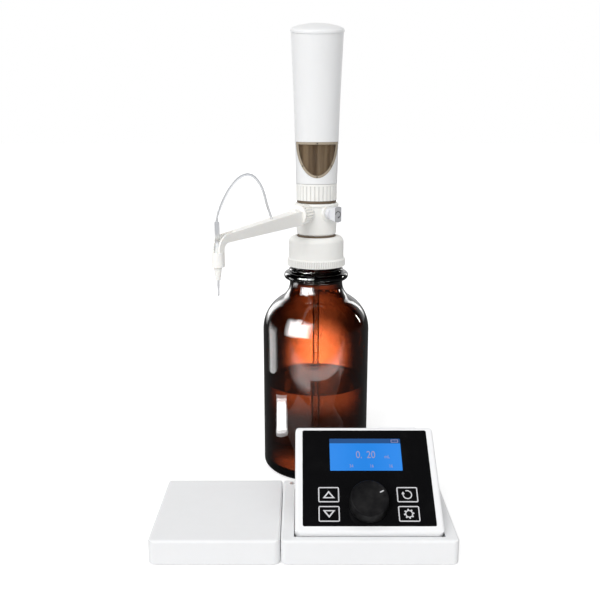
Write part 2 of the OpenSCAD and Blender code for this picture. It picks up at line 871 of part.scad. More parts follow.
module arm_nut() {
    color([0.92, 0.92, 0.89])
    at_arm() difference() {
        translate([nut_x, 0, 0]) rotate([0, 90, 0]) union() {
            linear_extrude(nut_l - 2) ribbed_circle(nut_d, nut_ribs, 0.9, 1.3);
            cylinder(r = nut_d / 2 - 1.1, h = nut_l);
        }
        rod_x(fitting_r + run_gap, nut_x - 1, nut_x + nut_l + 1);
    }
}

// Side outline of the arm: a tapered bar, an elbow that turns down, and the nozzle holder
module arm_side() {
    leg_x = bend_x + bend_r;
    polygon(concat(
        [[arm_x, under_root], [arm_x, under_root + arm_root_h], [bend_x, under_end + arm_end_h]],
        arc([bend_x, bend_z], bend_r + arm_end_h, 90, 0, 10),
        [[leg_x + arm_end_h, holder_top - axis_z], [arm_reach, holder_top - axis_z],
         [arm_reach, holder_z - axis_z], [leg_x, holder_z - axis_z]],
        arc([bend_x, bend_z], bend_r, 0, 90, 8)
    ));
}

// Plan outline of the arm: it tapers to the elbow, and its leg keeps one width
module arm_plan() {
    leg_end = arm_reach + holder_r;
    polygon([
        [arm_x - 1, arm_root_w / 2], [bend_x - 6, arm_end_w / 2], [leg_end, arm_end_w / 2],
        [leg_end, -arm_end_w / 2], [bend_x - 6, -arm_end_w / 2], [arm_x - 1, -arm_root_w / 2]
    ]);
}

module arm_solid() {
    rod_x(nut_d / 2 + 0.5, arm_x, arm_x + arm_flange_t);
    intersection() {
        rotate([90, 0, 0]) linear_extrude(30, center = true) arm_side();
        translate([0, 0, -60]) linear_extrude(90) arm_plan();
    }
    translate([arm_reach, 0, holder_z - axis_z])
        cylinder(r1 = holder_r, r2 = holder_top_r, h = holder_top - holder_z);
}

module arm() {
    color([0.93, 0.92, 0.89])
    at_arm() difference() {
        arm_solid();
        // Socket on the outlet fitting, and the duct to the tube
        rod_x(fitting_r, arm_x - 1, arm_x + fitting_out + 0.1);
        translate([0, 0, -3]) rod_x(1, arm_x + fitting_out - 1, TUBE_ROUTE[0][0] - 1);
        // Way of the tube up out of the arm
        translate([TUBE_ROUTE[0][0], 0, TUBE_ROUTE[0][1]]) rotate([0, tube_tilt, 0]) {
            cylinder(r = tube_d / 2 + drop_gap, h = 12);
            translate([0, 0, -4]) cylinder(r = nozzle_bore, h = 5);
        }
        // Open trough round the outside of the elbow
        translate([trough_x, 0, trough_floor]) {
            cylinder(r = trough_w / 2, h = 9);
            translate([0, -trough_w / 2, 0]) cube([bend_x - trough_x, trough_w, 9]);
        }
        translate([bend_x, 0, bend_z]) rotate([90, 0, 0]) rotate_extrude(angle = 90)
            translate([trough_floor - bend_z, -trough_w / 2]) square([9, trough_w]);
        translate([bend_x + trough_floor - bend_z, -trough_w / 2, holder_top - axis_z])
            cube([12, trough_w, bend_z - holder_top + axis_z + e]);
        // Hole of the nozzle
        translate([arm_reach, 0, holder_z - axis_z - 1])
            cylinder(r = nozzle_r + drop_gap, h = holder_top - holder_z + 1 + e);
    }
}

// Octagonal tube along a route in the arm's upright plane
module swept_tube(route, r) {
    sides = 8;
    n = len(route);
    tangents = [for (i = [0:n - 1])
        let (a = route[max(i - 1, 0)], b = route[min(i + 1, n - 1)], d = b - a) d / norm(d)];
    points = [for (i = [0:n - 1], k = [0:sides - 1])
        let (t = tangents[i], a = 360 * (k + 0.5) / sides)
        [route[i][0] - t[1] * r * cos(a), r * sin(a), route[i][1] + t[0] * r * cos(a)]];
    walls = [for (i = [0:n - 2], k = [0:sides - 1], half = [0, 1])
        let (a = i * sides + k, b = i * sides + (k + 1) % sides)
        half == 0 ? [a, b, b + sides] : [a, b + sides, a + sides]];
    first = [for (k = [1:sides - 2]) [0, k + 1, k]];
    last_ring = (n - 1) * sides;
    last = [for (k = [1:sides - 2]) [last_ring, last_ring + k, last_ring + k + 1]];
    polyhedron(points = points, faces = concat(walls, first, last));
}

module titration_tube() {
    color([0.85, 0.87, 0.92, 0.7])
    at_arm() swept_tube(TUBE_ROUTE, tube_d / 2);
}

module tube_sleeve() {
    color([0.85, 0.87, 0.9, 0.6])
    at_arm() translate([arm_reach, 0, sleeve_z - axis_z]) difference() {
        cylinder(r = sleeve_d / 2, h = sleeve_top - sleeve_z);
        translate([0, 0, TUBE_ROUTE[len(TUBE_ROUTE) - 1][1] - sleeve_z + axis_z])
            cylinder(r = tube_d / 2 + drop_gap, h = 20);
        translate([0, 0, -e]) cylinder(r = nozzle_bore, h = 20);
    }
}

module nozzle_body() {
    color([0.88, 0.89, 0.9, 0.6])
    at_arm() translate([arm_reach, 0, 0]) difference() {
        union() {
            translate([0, 0, holder_top - axis_z])
                cylinder(r1 = nozzle_r - 0.9, r2 = 1.4, h = sleeve_z - holder_top);
            translate([0, 0, holder_z - axis_z]) cylinder(r = nozzle_r, h = holder_top - holder_z + e);
        }
        translate([0, 0, holder_z - axis_z - e]) cylinder(r = nozzle_bore, h = 30);
    }
}

module nozzle_tip() {
    color([0.95, 0.95, 0.95])
    at_arm() translate([arm_reach, 0, tip_end_z - axis_z]) difference() {
        union() {
            cylinder(r1 = 1.7, r2 = nozzle_r + 0.1, h = holder_z - tip_end_z - 1);
            translate([0, 0, holder_z - tip_end_z - 1]) cylinder(r = nozzle_r + 0.1, h = 1);
        }
        translate([0, 0, -e]) cylinder(r = capillary_r, h = capillary_in);
        cylinder(r = nozzle_bore, h = 20);
    }
}

module capillary() {
    color([0.85, 0.87, 0.9, 0.6])
    at_arm() translate([arm_reach, 0, tip_z - axis_z]) difference() {
        union() {
            cylinder(r1 = 0.55, r2 = capillary_r, h = tip_end_z - tip_z);
            translate([0, 0, tip_end_z - tip_z - e]) cylinder(r = capillary_r, h = capillary_in);
        }
        translate([0, 0, -e]) cylinder(r = 0.3, h = tip_end_z - tip_z + 8);
    }
}

// ---- Plates ----

// Bosses for a plate's screws, from a level up into the cover
module screw_bosses(w, z0, z1) {
    for (p = plate_screw_points(w)) translate([p[0], p[1], z0]) cylinder(r = boss_r, h = z1 - z0);
}

module screw_holes(w) {
    for (p = plate_screw_points(w)) translate([p[0], p[1], 0]) cylinder(r = screw_r, h = foot_h + screw_l);
}

module bottom_plate(w) {
    difference() {
        translate([0, 0, cover_z]) linear_extrude(bottom_t)
            rounded_square(w - 2 * bottom_lap, plate_d - 2 * bottom_lap, corner_r - cover_t);
        for (p = plate_screw_points(w)) translate([p[0], p[1], 0]) {
            cylinder(r = screw_r + drop_gap, h = 10);
            cylinder(r = screw_head_r + drop_gap, h = cover_z + screw_head_h);
        }
    }
}

module control_cover() {
    tray_w = panel_w + 2 * panel_side_gap;
    side_in = (control_w - tray_w) / 2;
    hollow_w = side_in - 2 * cover_t;
    hollow_y = -20;
    color([0.93, 0.93, 0.93])
    translate([control_x, plate_y, 0]) difference() {
        translate([0, 0, cover_z]) soft_block(control_w, plate_d, cover_h, corner_r, edge_r);
        // Tray that the panel folds into
        translate([-tray_w / 2, -plate_d / 2 + tray_rim, tray_floor_z])
            cube([tray_w, plate_d - tray_rim - tray_back_wall, plate_h]);
        translate([-tray_w / 2, 0, tray_back_z]) cube([tray_w, plate_d, plate_h]);
        // Hollow underside
        translate([0, 0, cover_z - e]) linear_extrude(bottom_t + 0.1)
            rounded_square(control_w - 2 * cover_t, plate_d - 2 * cover_t, corner_r - cover_t);
        translate([0, 0, cover_z]) linear_extrude(tray_under_z - cover_z) difference() {
            rounded_square(control_w - 2 * cover_t, plate_d - 2 * cover_t, corner_r - cover_t);
            for (p = plate_screw_points(control_w)) translate(p) circle(r = boss_r);
        }
        // Hollow shoulders, behind the hinge
        for (s = [-1, 1]) {
            translate([s * (control_w - side_in) / 2 - hollow_w / 2, hollow_y, cover_z + bottom_t])
                cube([hollow_w, plate_d / 2 - cover_t - corner_r - hollow_y, cover_h - bottom_t - 2.6]);
        }
        screw_holes(control_w);
        // Holes of the hinge pins
        translate([0, hinge_y - plate_y, hinge_z])
            rod_x(hinge_r, -tray_w / 2 - hinge_pin_out, tray_w / 2 + hinge_pin_out);
        // Seat of the status mark
        translate([mark_x, mark_y, plate_h - mark_h]) cylinder(r = mark_r, h = 2);
    }
}

module control_bottom() {
    color([0.3, 0.3, 0.31])
    translate([control_x, plate_y, 0]) bottom_plate(control_w);
}

module hinge_pins() {
    inner = panel_w / 2 - hinge_pin_in;
    outer = panel_w / 2 + panel_side_gap + hinge_pin_out;
    color([0.7, 0.7, 0.72])
    translate([control_x, hinge_y, hinge_z]) {
        rod_x(hinge_r, inner, outer);
        rod_x(hinge_r, -outer, -inner);
    }
}

module status_mark() {
    color([0.45, 0.45, 0.45])
    translate([control_x + mark_x, plate_y + mark_y, plate_h - mark_h]) cylinder(r = mark_r, h = mark_h);
}

module link_board() {
    side_in = (control_w - panel_w - 2 * panel_side_gap) / 2;
    color([0.1, 0.35, 0.2])
    translate([control_x - (control_w - side_in) / 2 - board_t / 2, plate_y, cover_z + bottom_t])
        cube([board_t, 34, 13]);
}

module stirrer_cover() {
    color([0.93, 0.93, 0.93])
    translate([stirrer_x, plate_y, 0]) difference() {
        union() {
            difference() {
                translate([0, 0, cover_z]) soft_block(stirrer_w, plate_d, cover_h, corner_r, edge_r);
                translate([0, 0, cover_z - e]) linear_extrude(cover_h - cover_t)
                    rounded_square(stirrer_w - 2 * cover_t, plate_d - 2 * cover_t, corner_r - cover_t);
            }
            screw_bosses(stirrer_w, cover_z + bottom_t + 0.1, plate_h - 1);
        }
        screw_holes(stirrer_w);
    }
}

module stirrer_bottom() {
    color([0.3, 0.3, 0.31])
    translate([stirrer_x, plate_y, 0]) bottom_plate(stirrer_w);
}

module stirrer_motor() {
    color([0.55, 0.56, 0.58])
    translate([stirrer_x, plate_y, cover_z + bottom_t]) {
        cylinder(r = stir_motor_r, h = rotor_z - cover_z - bottom_t - 0.6);
        cylinder(r = stir_shaft_r, h = rotor_z - cover_z - bottom_t + 3.4);
    }
}

module magnet_rotor() {
    color([0.2, 0.2, 0.22])
    translate([stirrer_x, plate_y, rotor_z]) difference() {
        union() {
            cylinder(r = rotor_r, h = 2);
            cylinder(r = 5, h = 4);
            for (s = [-1, 1]) translate([s * magnet_x, 0, 0]) cylinder(r = magnet_r + 1.6, h = 5);
        }
        translate([0, 0, -e]) cylinder(r = stir_shaft_r + run_gap, h = 4.2);
        for (s = [-1, 1]) translate([s * magnet_x, 0, 2]) cylinder(r = magnet_r, h = 4);
    }
}

module magnets() {
    color([0.75, 0.75, 0.77])
    translate([stirrer_x, plate_y, rotor_z + 2])
        for (s = [-1, 1]) translate([s * magnet_x, 0, 0]) cylinder(r = magnet_r, h = magnet_h);
}

module rubber_feet() {
    color([0.12, 0.12, 0.12]) {
        for (p = foot_points(stirrer_w)) translate([stirrer_x + p[0], plate_y + p[1], 0])
            cylinder(r = foot_d / 2, h = foot_h);
        for (p = foot_points(control_w)) translate([control_x + p[0], plate_y + p[1], 0])
            cylinder(r = foot_d / 2, h = foot_h);
    }
}

module screw(head_r, head_h, shank_r, length) {
    difference() {
        cylinder(r = head_r, h = head_h);
        for (a = [0, 90]) rotate([0, 0, a]) translate([-head_r * 0.6, -0.25, -e])
            cube([head_r * 1.2, 0.5, 0.7]);
    }
    translate([0, 0, head_h]) cylinder(r = shank_r, h = length - head_h);
}

module base_screws() {
    color([0.7, 0.7, 0.72]) {
        for (p = plate_screw_points(stirrer_w)) translate([stirrer_x + p[0], plate_y + p[1], cover_z])
            screw(screw_head_r, screw_head_h, screw_r, screw_l - 0.4);
        for (p = plate_screw_points(control_w)) translate([control_x + p[0], plate_y + p[1], cover_z])
            screw(screw_head_r, screw_head_h, screw_r, control_screw_l);
    }
}

// ---- Tilting panel ----

module panel_housing() {
    color([0.95, 0.95, 0.95])
    at_panel() difference() {
        union() {
            difference() {
                translate([0, panel_l / 2, -panel_t])
                    soft_block(panel_w, panel_l, panel_t, panel_corner, panel_edge);
                // Hollow body, open at the back
                translate([0, panel_l / 2, -panel_t - e]) linear_extrude(panel_t + deck_z + e)
                    rounded_square(panel_w - 2 * panel_wall, panel_l - 2 * panel_wall,
                        panel_corner - panel_wall);
            }
            // Bosses of the hinge pins and of the screws
            for (s = [-1, 1]) translate([0, pivot_up, -pivot_in]) intersection() {
                rod_x(pivot_up - 0.6, s > 0 ? panel_w / 2 - hinge_pin_in - 2 : -panel_w / 2 + 1,
                    s > 0 ? panel_w / 2 - 1 : -panel_w / 2 + hinge_pin_in + 2);
                translate([-panel_w, -pivot_up, -panel_t + pivot_in + back_t + 0.1])
                    cube([2 * panel_w, 20, 20]);
            }
            for (p = panel_screw_points()) translate([p[0], p[1], -panel_t + back_t + 0.1])
                cylinder(r = 2.9, h = panel_t + deck_z - back_t);
        }
        // Seat of the glass
        translate([0, glass_front + glass_l / 2, -glass_sheet_t]) linear_extrude(5)
            rounded_square(glass_w + 2 * drop_gap, glass_l + 2 * drop_gap, 1.5);
        // Openings for the display and the encoder's bush
        translate([-display_w / 2 - 1, display_y - display_h / 2 - 1, -6])
            cube([display_w + 2, display_h + 2, 8]);
        translate([0, knob_y, -6]) cylinder(r = bush_r + drop_gap, h = 8);
        translate([0, pivot_up, -pivot_in]) {
            rod_x(hinge_r + run_gap, panel_w / 2 - hinge_pin_in - 0.3, panel_w / 2 + 1);
            rod_x(hinge_r + run_gap, -panel_w / 2 - 1, -panel_w / 2 + hinge_pin_in + 0.3);
        }
        for (p = panel_screw_points()) translate([p[0], p[1], -panel_t]) cylinder(r = panel_screw_r, h = 11);
    }
}

module panel_back() {
    lap = panel_wall + drop_gap;
    color([0.9, 0.9, 0.9])
    at_panel() difference() {
        union() {
            translate([0, panel_l / 2, -panel_t]) linear_extrude(back_t)
                rounded_square(panel_w - 2 * lap, panel_l - 2 * lap, panel_corner - lap);
            // Raised field over the battery
            translate([0, cell_y, -panel_t - 1.6]) linear_extrude(2)
                rounded_square(cell_w + 6, cell_l + 6, 3);
        }
        translate([0, cell_y, -panel_t - 0.2]) linear_extrude(4) rounded_square(cell_w + 2, cell_l + 2, 1.4);
        for (p = panel_screw_points()) translate([p[0], p[1], -panel_t - 1]) {
            cylinder(r = panel_screw_r + drop_gap, h = 6);
            cylinder(r = 2.3, h = 2.1);
        }
    }
}

module panel_glass() {
    color([0.05, 0.05, 0.06])
    at_panel() difference() {
        translate([0, glass_front + glass_l / 2, -glass_sheet_t]) linear_extrude(glass_sheet_t)
            rounded_square(glass_w, glass_l, 1.4);
        translate([0, knob_y, -3]) cylinder(r = bush_r + drop_gap, h = 5);
    }
}

module display_module() {
    frame_w = display_w + 2 * display_frame;
    frame_h = display_h + 2 * display_frame;
    color([0.15, 0.45, 0.85])
    at_panel() translate([0, display_y, deck_z]) {
        translate([-display_w / 2, -display_h / 2, 0]) cube([display_w, display_h, deck_t]);
        translate([-frame_w / 2, -frame_h / 2, -display_t]) cube([frame_w, frame_h, display_t]);
    }
}

module panel_board() {
    board_l = panel_l - 17;
    color([0.1, 0.35, 0.2])
    at_panel() translate([-panel_w / 2 + 12, 10, board_z - board_t]) cube([panel_w - 24, board_l, board_t]);
}

module encoder() {
    color([0.3, 0.3, 0.32])
    at_panel() translate([0, knob_y, 0]) difference() {
        union() {
            translate([-encoder_w / 2, -encoder_w / 2, board_z])
                cube([encoder_w, encoder_w, deck_z - board_z]);
            translate([0, 0, deck_z - 1]) cylinder(r = bush_r, h = -deck_z + 1);
        }
        translate([0, 0, board_z + 1]) cylinder(r = shaft_r + run_gap, h = 20);
    }
}

module knob_shaft() {
    shaft_z = board_z + 1.2;
    color([0.7, 0.7, 0.72])
    at_panel() translate([0, knob_y, shaft_z]) cylinder(r = shaft_r, h = knob_bore + knob_gap - shaft_z);
}

module control_knob() {
    knurls = 60;
    color([0.08, 0.08, 0.09])
    at_panel() translate([0, knob_y, knob_gap]) difference() {
        rotate_extrude($fn = 96) polygon(concat(
            [[0, 0], [knob_d / 2 - 0.4, 0], [knob_d / 2, 0.8]],
            arc([knob_d / 2 - 2.0, knob_h - 1.4], 1.4, 0, 90, 5),
            [[knob_d / 2 - 2.6, knob_h - 0.3], [0, knob_h - 0.5]]
        ));
        for (i = [0:knurls - 1]) {
            rotate([0, 0, i * 360 / knurls]) translate([knob_d / 2 + 0.3, 0, 2])
                cylinder(r = 0.6, h = knob_h, $fn = 16);
        }
        translate([0, 0, -e]) cylinder(r = shaft_r, h = knob_bore + e);
    }
}

module panel_battery() {
    color([0.35, 0.37, 0.42])
    at_panel() translate([-cell_w / 2, cell_y - cell_l / 2, -panel_t - 0.2]) cube([cell_w, cell_l, 6]);
}

module panel_screws() {
    color([0.7, 0.7, 0.72])
    at_panel() for (p = panel_screw_points()) translate([p[0], p[1], -panel_t])
        screw(2.2, 1.1, panel_screw_r, 9);
}

module port_flap() {
    color([0.9, 0.9, 0.9])
    at_panel() translate([flap_x, panel_l, flap_z + flap_h / 2]) rotate([-90, 0, 0]) linear_extrude(1.2)
        rounded_square(flap_w, flap_h, 2);
}

bottle();
bottle_gasket();
screw_cap();
cap_seal_ring();
valve_block();
intake_valve();
intake_ball();
outlet_fitting();
outlet_ball();
valve_key();
valve_knob();
dip_tube();
return_tube();
block_seal_ring();
coupling_ring();
glass_barrel();
head_housing();
head_cap();
window_bezel();
window_pane();
window_pins();
drive_motor();
drive_nut();
piston();
piston_seal();
piston_rod();
rod_guide();
guide_rod();
head_board();
head_battery();
arm_nut();
arm();
titration_tube();
tube_sleeve();
nozzle_body();
nozzle_tip();
capillary();
control_cover();
control_bottom();
hinge_pins();
status_mark();
link_board();
panel_housing();
panel_back();
panel_glass();
display_module();
panel_board();
encoder();
panel_battery();
panel_screws();
port_flap();
knob_shaft();
control_knob();
stirrer_cover();
stirrer_bottom();
stirrer_motor();
magnet_rotor();
magnets();
rubber_feet();
base_screws();
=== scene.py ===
import json
import logging
import math
from dataclasses import dataclass
from enum import Enum
from typing import Iterable, Sequence

import bmesh
import bpy
from mathutils import Matrix, Vector


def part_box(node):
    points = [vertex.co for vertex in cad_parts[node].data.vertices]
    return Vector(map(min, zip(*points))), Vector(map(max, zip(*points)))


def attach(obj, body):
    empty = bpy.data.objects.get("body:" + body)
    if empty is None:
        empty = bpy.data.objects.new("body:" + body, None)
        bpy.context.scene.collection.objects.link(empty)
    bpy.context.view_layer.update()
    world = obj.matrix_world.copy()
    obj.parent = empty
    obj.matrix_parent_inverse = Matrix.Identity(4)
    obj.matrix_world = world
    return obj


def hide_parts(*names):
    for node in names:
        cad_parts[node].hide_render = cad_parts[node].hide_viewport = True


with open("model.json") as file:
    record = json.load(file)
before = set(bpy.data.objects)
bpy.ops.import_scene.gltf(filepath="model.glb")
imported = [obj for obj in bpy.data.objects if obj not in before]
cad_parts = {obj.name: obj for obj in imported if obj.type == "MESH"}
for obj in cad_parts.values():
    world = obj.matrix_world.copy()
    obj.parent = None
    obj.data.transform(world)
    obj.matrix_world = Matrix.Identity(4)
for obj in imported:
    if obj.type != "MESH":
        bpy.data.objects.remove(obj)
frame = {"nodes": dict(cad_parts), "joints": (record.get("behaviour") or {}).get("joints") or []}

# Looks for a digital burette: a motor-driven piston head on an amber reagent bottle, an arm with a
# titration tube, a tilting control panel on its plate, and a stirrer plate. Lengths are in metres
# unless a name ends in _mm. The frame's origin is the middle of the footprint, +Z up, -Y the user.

LOG = logging.getLogger("burette")
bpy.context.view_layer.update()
MM = 0.001
TURN = math.tau
GRAIN_DEPTH = 0.05 * MM
STREAK_DEPTH = 0.04 * MM
WAVE_DEPTH = 1.0 * MM
SKIN_RADIUS = (4.0 * MM, 3.5 * MM, 3.0 * MM)
MOTTLE_TONE = (0.35, 0.34, 0.32, 1)
STREAK_TONE = (0.2, 0.2, 0.21, 1)

Colour = tuple[float, float, float]
Outline = Sequence[tuple[float, float]]
Sheet = bmesh.types.BMesh
Sockets = Sequence[bpy.types.NodeSocket]


# ---- Places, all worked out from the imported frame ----

def middle(node: str) -> Vector:
    """Middle of a node's box.

    Args:
        node: the CAD node's name.

    Returns:
        The point half-way between its lowest and highest corners.
    """
    low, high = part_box(node)
    return (low + high) / 2


def joint(name: str) -> dict[str, object]:
    """The frame's joint of a name."""
    return next(j for j in frame["joints"] if j["name"] == name)


def reach_of(node: str, place: Matrix) -> float:
    """How far a node reaches along z in a frame.

    Args:
        node: the CAD node's name.
        place: the frame to measure in.

    Returns:
        The highest z of its points.
    """
    piece = frame["nodes"][node]
    to_place = place.inverted() @ piece.matrix_world
    return max((to_place @ v.co).z for v in piece.data.vertices)


@dataclass(frozen=True)
class Layout:
    """Axes and levels that several sub-assemblies share."""

    bottle_axis: Vector
    arm_level: float
    arm_turn: float
    knob_foot: Vector
    face_tilt: float
    tap_level: float
    tap_turn: float

    @classmethod
    def from_frame(cls) -> "Layout":
        """Reads the axes and levels from the frame.

        Returns:
            The layout.
        """
        low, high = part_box("bottle")
        axis = Vector(((low.x + high.x) / 2, (low.y + high.y) / 2, 0))
        nozzle = middle("capillary")
        turn = math.atan2(nozzle.y - axis.y, nozzle.x - axis.x)
        ball = middle("outlet_ball")
        dial = joint("dial_turn")
        tilt = math.atan2(-dial["axis"][1], dial["axis"][2])
        handle = middle("valve_knob") - axis
        return cls(axis, ball.z, turn, Vector(dial["pos_m"]), tilt, joint("tap_turn")["pos_m"][2],
                   math.atan2(handle.y, handle.x))

    def on_axis(self) -> Matrix:
        """Frame that stands on the table on the bottle's axis."""
        return Matrix.Translation(self.bottle_axis)

    def along_arm(self) -> Matrix:
        """Frame with +X along the arm, on the bottle's axis at the arm's level."""
        at = Matrix.Translation(self.bottle_axis + Vector((0, 0, self.arm_level)))
        return at @ Matrix.Rotation(self.arm_turn, 4, "Z")

    def on_face(self) -> Matrix:
        """Frame on the panel's glass at the knob: x across, y up the slope, z out of the face."""
        return Matrix.Translation(self.knob_foot) @ Matrix.Rotation(self.face_tilt, 4, "X")

    def on_tap(self, out: float) -> Matrix:
        """Frame on the valve knob's turning axis, with z along it.

        Args:
            out: its distance from the bottle's axis.

        Returns:
            The frame, with x down and y sideways.
        """
        at = Matrix.Translation(self.bottle_axis + Vector((0, 0, self.tap_level)))
        along = Matrix.Rotation(self.tap_turn, 4, "Z") @ Matrix.Rotation(math.pi / 2, 4, "Y")
        return at @ along @ Matrix.Translation((0, 0, out))


# ---- Shared shader node groups ----

class Socket(Enum):
    """Kinds of socket that a node group can have."""

    COLOUR = "NodeSocketColor"
    NUMBER = "NodeSocketFloat"
    VECTOR = "NodeSocketVector"


class Wiring:
    """Short ways to add and link nodes in one tree."""

    def __init__(self, tree: bpy.types.NodeTree) -> None:
        """Keeps the tree that nodes are added to."""
        self.tree = tree

    def put(self, target: bpy.types.NodeSocket, value: object) -> None:
        """Links a socket, or sets it to a plain value.

        Args:
            target: the socket.
            value: another socket or a plain value.
        """
        if isinstance(value, bpy.types.NodeSocket):
            self.tree.links.new(value, target)
        else:
            target.default_value = value

    def settle(self, node: bpy.types.Node, values: dict[str, object]) -> None:
        """Sets or links a node's sockets by their names."""
        for label, value in values.items():
            self.put(node.inputs[label], value)

    def add(self, kind: str, *given: object, **settings: object) -> bpy.types.Node:
        """Adds a shader node.

        Args:
            kind: the end of Blender's name for the node.
            given: values or sockets for its first inputs, in their order.
            settings: its properties.

        Returns:
            The node.
        """
        node = self.tree.nodes.new("ShaderNode" + kind)
        for label, value in settings.items():
            setattr(node, label, value)
        for socket, value in zip(node.inputs, given):
            self.put(socket, value)
        return node

    def math(self, operation: str, first: object, second: object = 0.0,
             clamp: bool = False) -> bpy.types.NodeSocket:
        """Adds a Math node.

        Args:
            operation: Blender's name of the operation.
            first: the first value or socket.
            second: the second value or socket.
            clamp: keeps the result between 0 and 1.

        Returns:
            The node's result.
        """
        return self.add("Math", first, second, operation=operation, use_clamp=clamp).outputs[0]

    def mix(self, share: object, first: object, second: object) -> bpy.types.NodeSocket:
        """Mixes two colours.

        Args:
            share: how much of the second colour, from 0 to 1.
            first: the first colour.
            second: the second colour.

        Returns:
            The mixed colour.
        """
        node = self.add("Mix", share, data_type="RGBA")
        self.put(node.inputs[6], first)
        self.put(node.inputs[7], second)
        return node.outputs[2]

    def noise(self, place: object, scale: object, detail: float = 2.0,
              roughness: float = 0.5) -> bpy.types.NodeSocket:
        """Adds a noise texture.

        Args:
            place: the coordinates.
            scale: the noise's scale.
            detail: how many finer layers.
            roughness: how strong the finer layers are.

        Returns:
            The noise's value, from 0 to 1.
        """
        node = self.add("TexNoise")
        self.settle(node, {"Vector": place, "Scale": scale, "Detail": detail, "Roughness": roughness})
        return node.outputs[0]

    def span(self, value: object, low: float, high: float, to_low: object,
             to_high: object) -> bpy.types.NodeSocket:
        """Maps a value from one range to another, smoothly, and clamps it.

        Args:
            value: the value or socket.
            low: where the range starts.
            high: where the range ends.
            to_low: the result at its start.
            to_high: the result at its end.

        Returns:
            The mapped value.
        """
        return self.add("MapRange", value, low, high, to_low, to_high,
                        interpolation_type="SMOOTHSTEP").outputs[0]

    def length(self, vector: bpy.types.NodeSocket) -> bpy.types.NodeSocket:
        """A vector's length."""
        return self.add("VectorMath", vector, operation="LENGTH").outputs["Value"]

    def parts(self, vector: bpy.types.NodeSocket) -> Sockets:
        """A vector's three values."""
        return self.add("SeparateXYZ", vector).outputs

    def placed(self, stretch: Colour = (1, 1, 1), move: Colour = (0, 0, 0)) -> bpy.types.NodeSocket:
        """Object coordinates through a Mapping node.

        Args:
            stretch: scale along each axis.
            move: shift along each axis.

        Returns:
            The mapped coordinates.
        """
        node = self.add("Mapping")
        where = self.add("TexCoord").outputs["Object"]
        self.settle(node, {"Vector": where, "Location": move, "Scale": stretch})
        return node.outputs[0]

    def group(self, tree: bpy.types.NodeTree, **values: object) -> bpy.types.Node:
        """Places a shader node group.

        Args:
            tree: the group.
            values: its inputs, with _ for a space in an input's name.

        Returns:
            The group's node.
        """
        node = self.add("Group", node_tree=tree)
        self.settle(node, {label.replace("_", " "): value for label, value in values.items()})
        return node


def start_group(name: str, inputs: dict[str, tuple[Socket, object]],
                outputs: dict[str, Socket]) -> tuple[Wiring, Sockets, Sockets]:
    """Makes an empty shader node group with named sockets.

    Args:
        name: the group's name.
        inputs: each input's kind and its default value.
        outputs: each output's kind.

    Returns:
        The group's wiring, what is given to it, and what it gives out.
    """
    tree = bpy.data.node_groups.new(name, "ShaderNodeTree")
    for label, (kind, value) in inputs.items():
        socket = tree.interface.new_socket(name=label, in_out="INPUT", socket_type=kind.value)
        if kind is not Socket.VECTOR:
            socket.default_value = value
    for label, kind in outputs.items():
        tree.interface.new_socket(name=label, in_out="OUTPUT", socket_type=kind.value)
    given = tree.nodes.new("NodeGroupInput")
    out = tree.nodes.new("NodeGroupOutput")
    return Wiring(tree), given.outputs, out.inputs


def moulded_group() -> bpy.types.NodeTree:
    """Moulded or turned plastic: slow mottling of its colour and gloss, and a fine grain.

    Returns:
        The group's node tree.
    """
    w, given, out = start_group("moulded", {
        "Place": (Socket.VECTOR, None), "Colour": (Socket.COLOUR, (1, 1, 1, 1)),
        "Mottle": (Socket.NUMBER, 0.02), "Roughness": (Socket.NUMBER, 0.4),
        "Spread": (Socket.NUMBER, 0.05), "Grain Scale": (Socket.NUMBER, 1800.0),
    }, {"Colour": Socket.COLOUR, "Roughness": Socket.NUMBER, "Height": Socket.NUMBER})
    slow = w.noise(given["Place"], 28.0, 3.0)
    patchy = w.noise(given["Place"], 160.0, 2.0)
    grain = w.noise(given["Place"], given["Grain Scale"], 1.0, 0.4)
    both = w.math("ADD", w.math("MULTIPLY", slow, 0.65), w.math("MULTIPLY", patchy, 0.35))
    dark = w.math("MULTIPLY", w.math("SUBTRACT", 0.5, both), given["Mottle"])
    share = w.math("MULTIPLY", dark, 4.0, clamp=True)
    w.put(out["Colour"], w.mix(share, given["Colour"], MOTTLE_TONE))
    swing = w.math("MULTIPLY", w.math("SUBTRACT", patchy, 0.5), given["Spread"])
    w.put(out["Roughness"], w.math("ADD", given["Roughness"], swing, clamp=True))
    w.put(out["Height"], grain)
    return w.tree


def soft_wave_group() -> bpy.types.NodeTree:
    """Blown glass: long, low waves in the surface, drawn out along the height.

    Returns:
        The group's node tree.
    """
    w, given, out = start_group("soft_wave", {
        "Place": (Socket.VECTOR, None), "Scale": (Socket.NUMBER, 20.0),
    }, {"Height": Socket.NUMBER})
    long_wave = w.noise(given["Place"], given["Scale"], 1.0, 0.3)
    short_wave = w.noise(given["Place"], w.math("MULTIPLY", given["Scale"], 3.1), 1.0, 0.3)
    w.put(out["Height"], w.math("ADD", long_wave, w.math("MULTIPLY", short_wave, 0.18)))
    return w.tree


def smudge_group() -> bpy.types.NodeTree:
    """Handled gloss: faint smears and dust that lift the roughness here and there.

    Returns:
        The group's node tree.
    """
    w, given, out = start_group("smudge", {
        "Place": (Socket.VECTOR, None), "Roughness": (Socket.NUMBER, 0.1),
        "Amount": (Socket.NUMBER, 0.1),
    }, {"Roughness": Socket.NUMBER, "Mask": Socket.NUMBER})
    smear = w.noise(given["Place"], 45.0, 4.0, 0.6)
    mask = w.span(smear, 0.5, 0.72, 0.0, 1.0)
    lift = w.math("MULTIPLY", mask, given["Amount"])
    w.put(out["Roughness"], w.math("ADD", given["Roughness"], lift))
    w.put(out["Mask"], mask)
    return w.tree


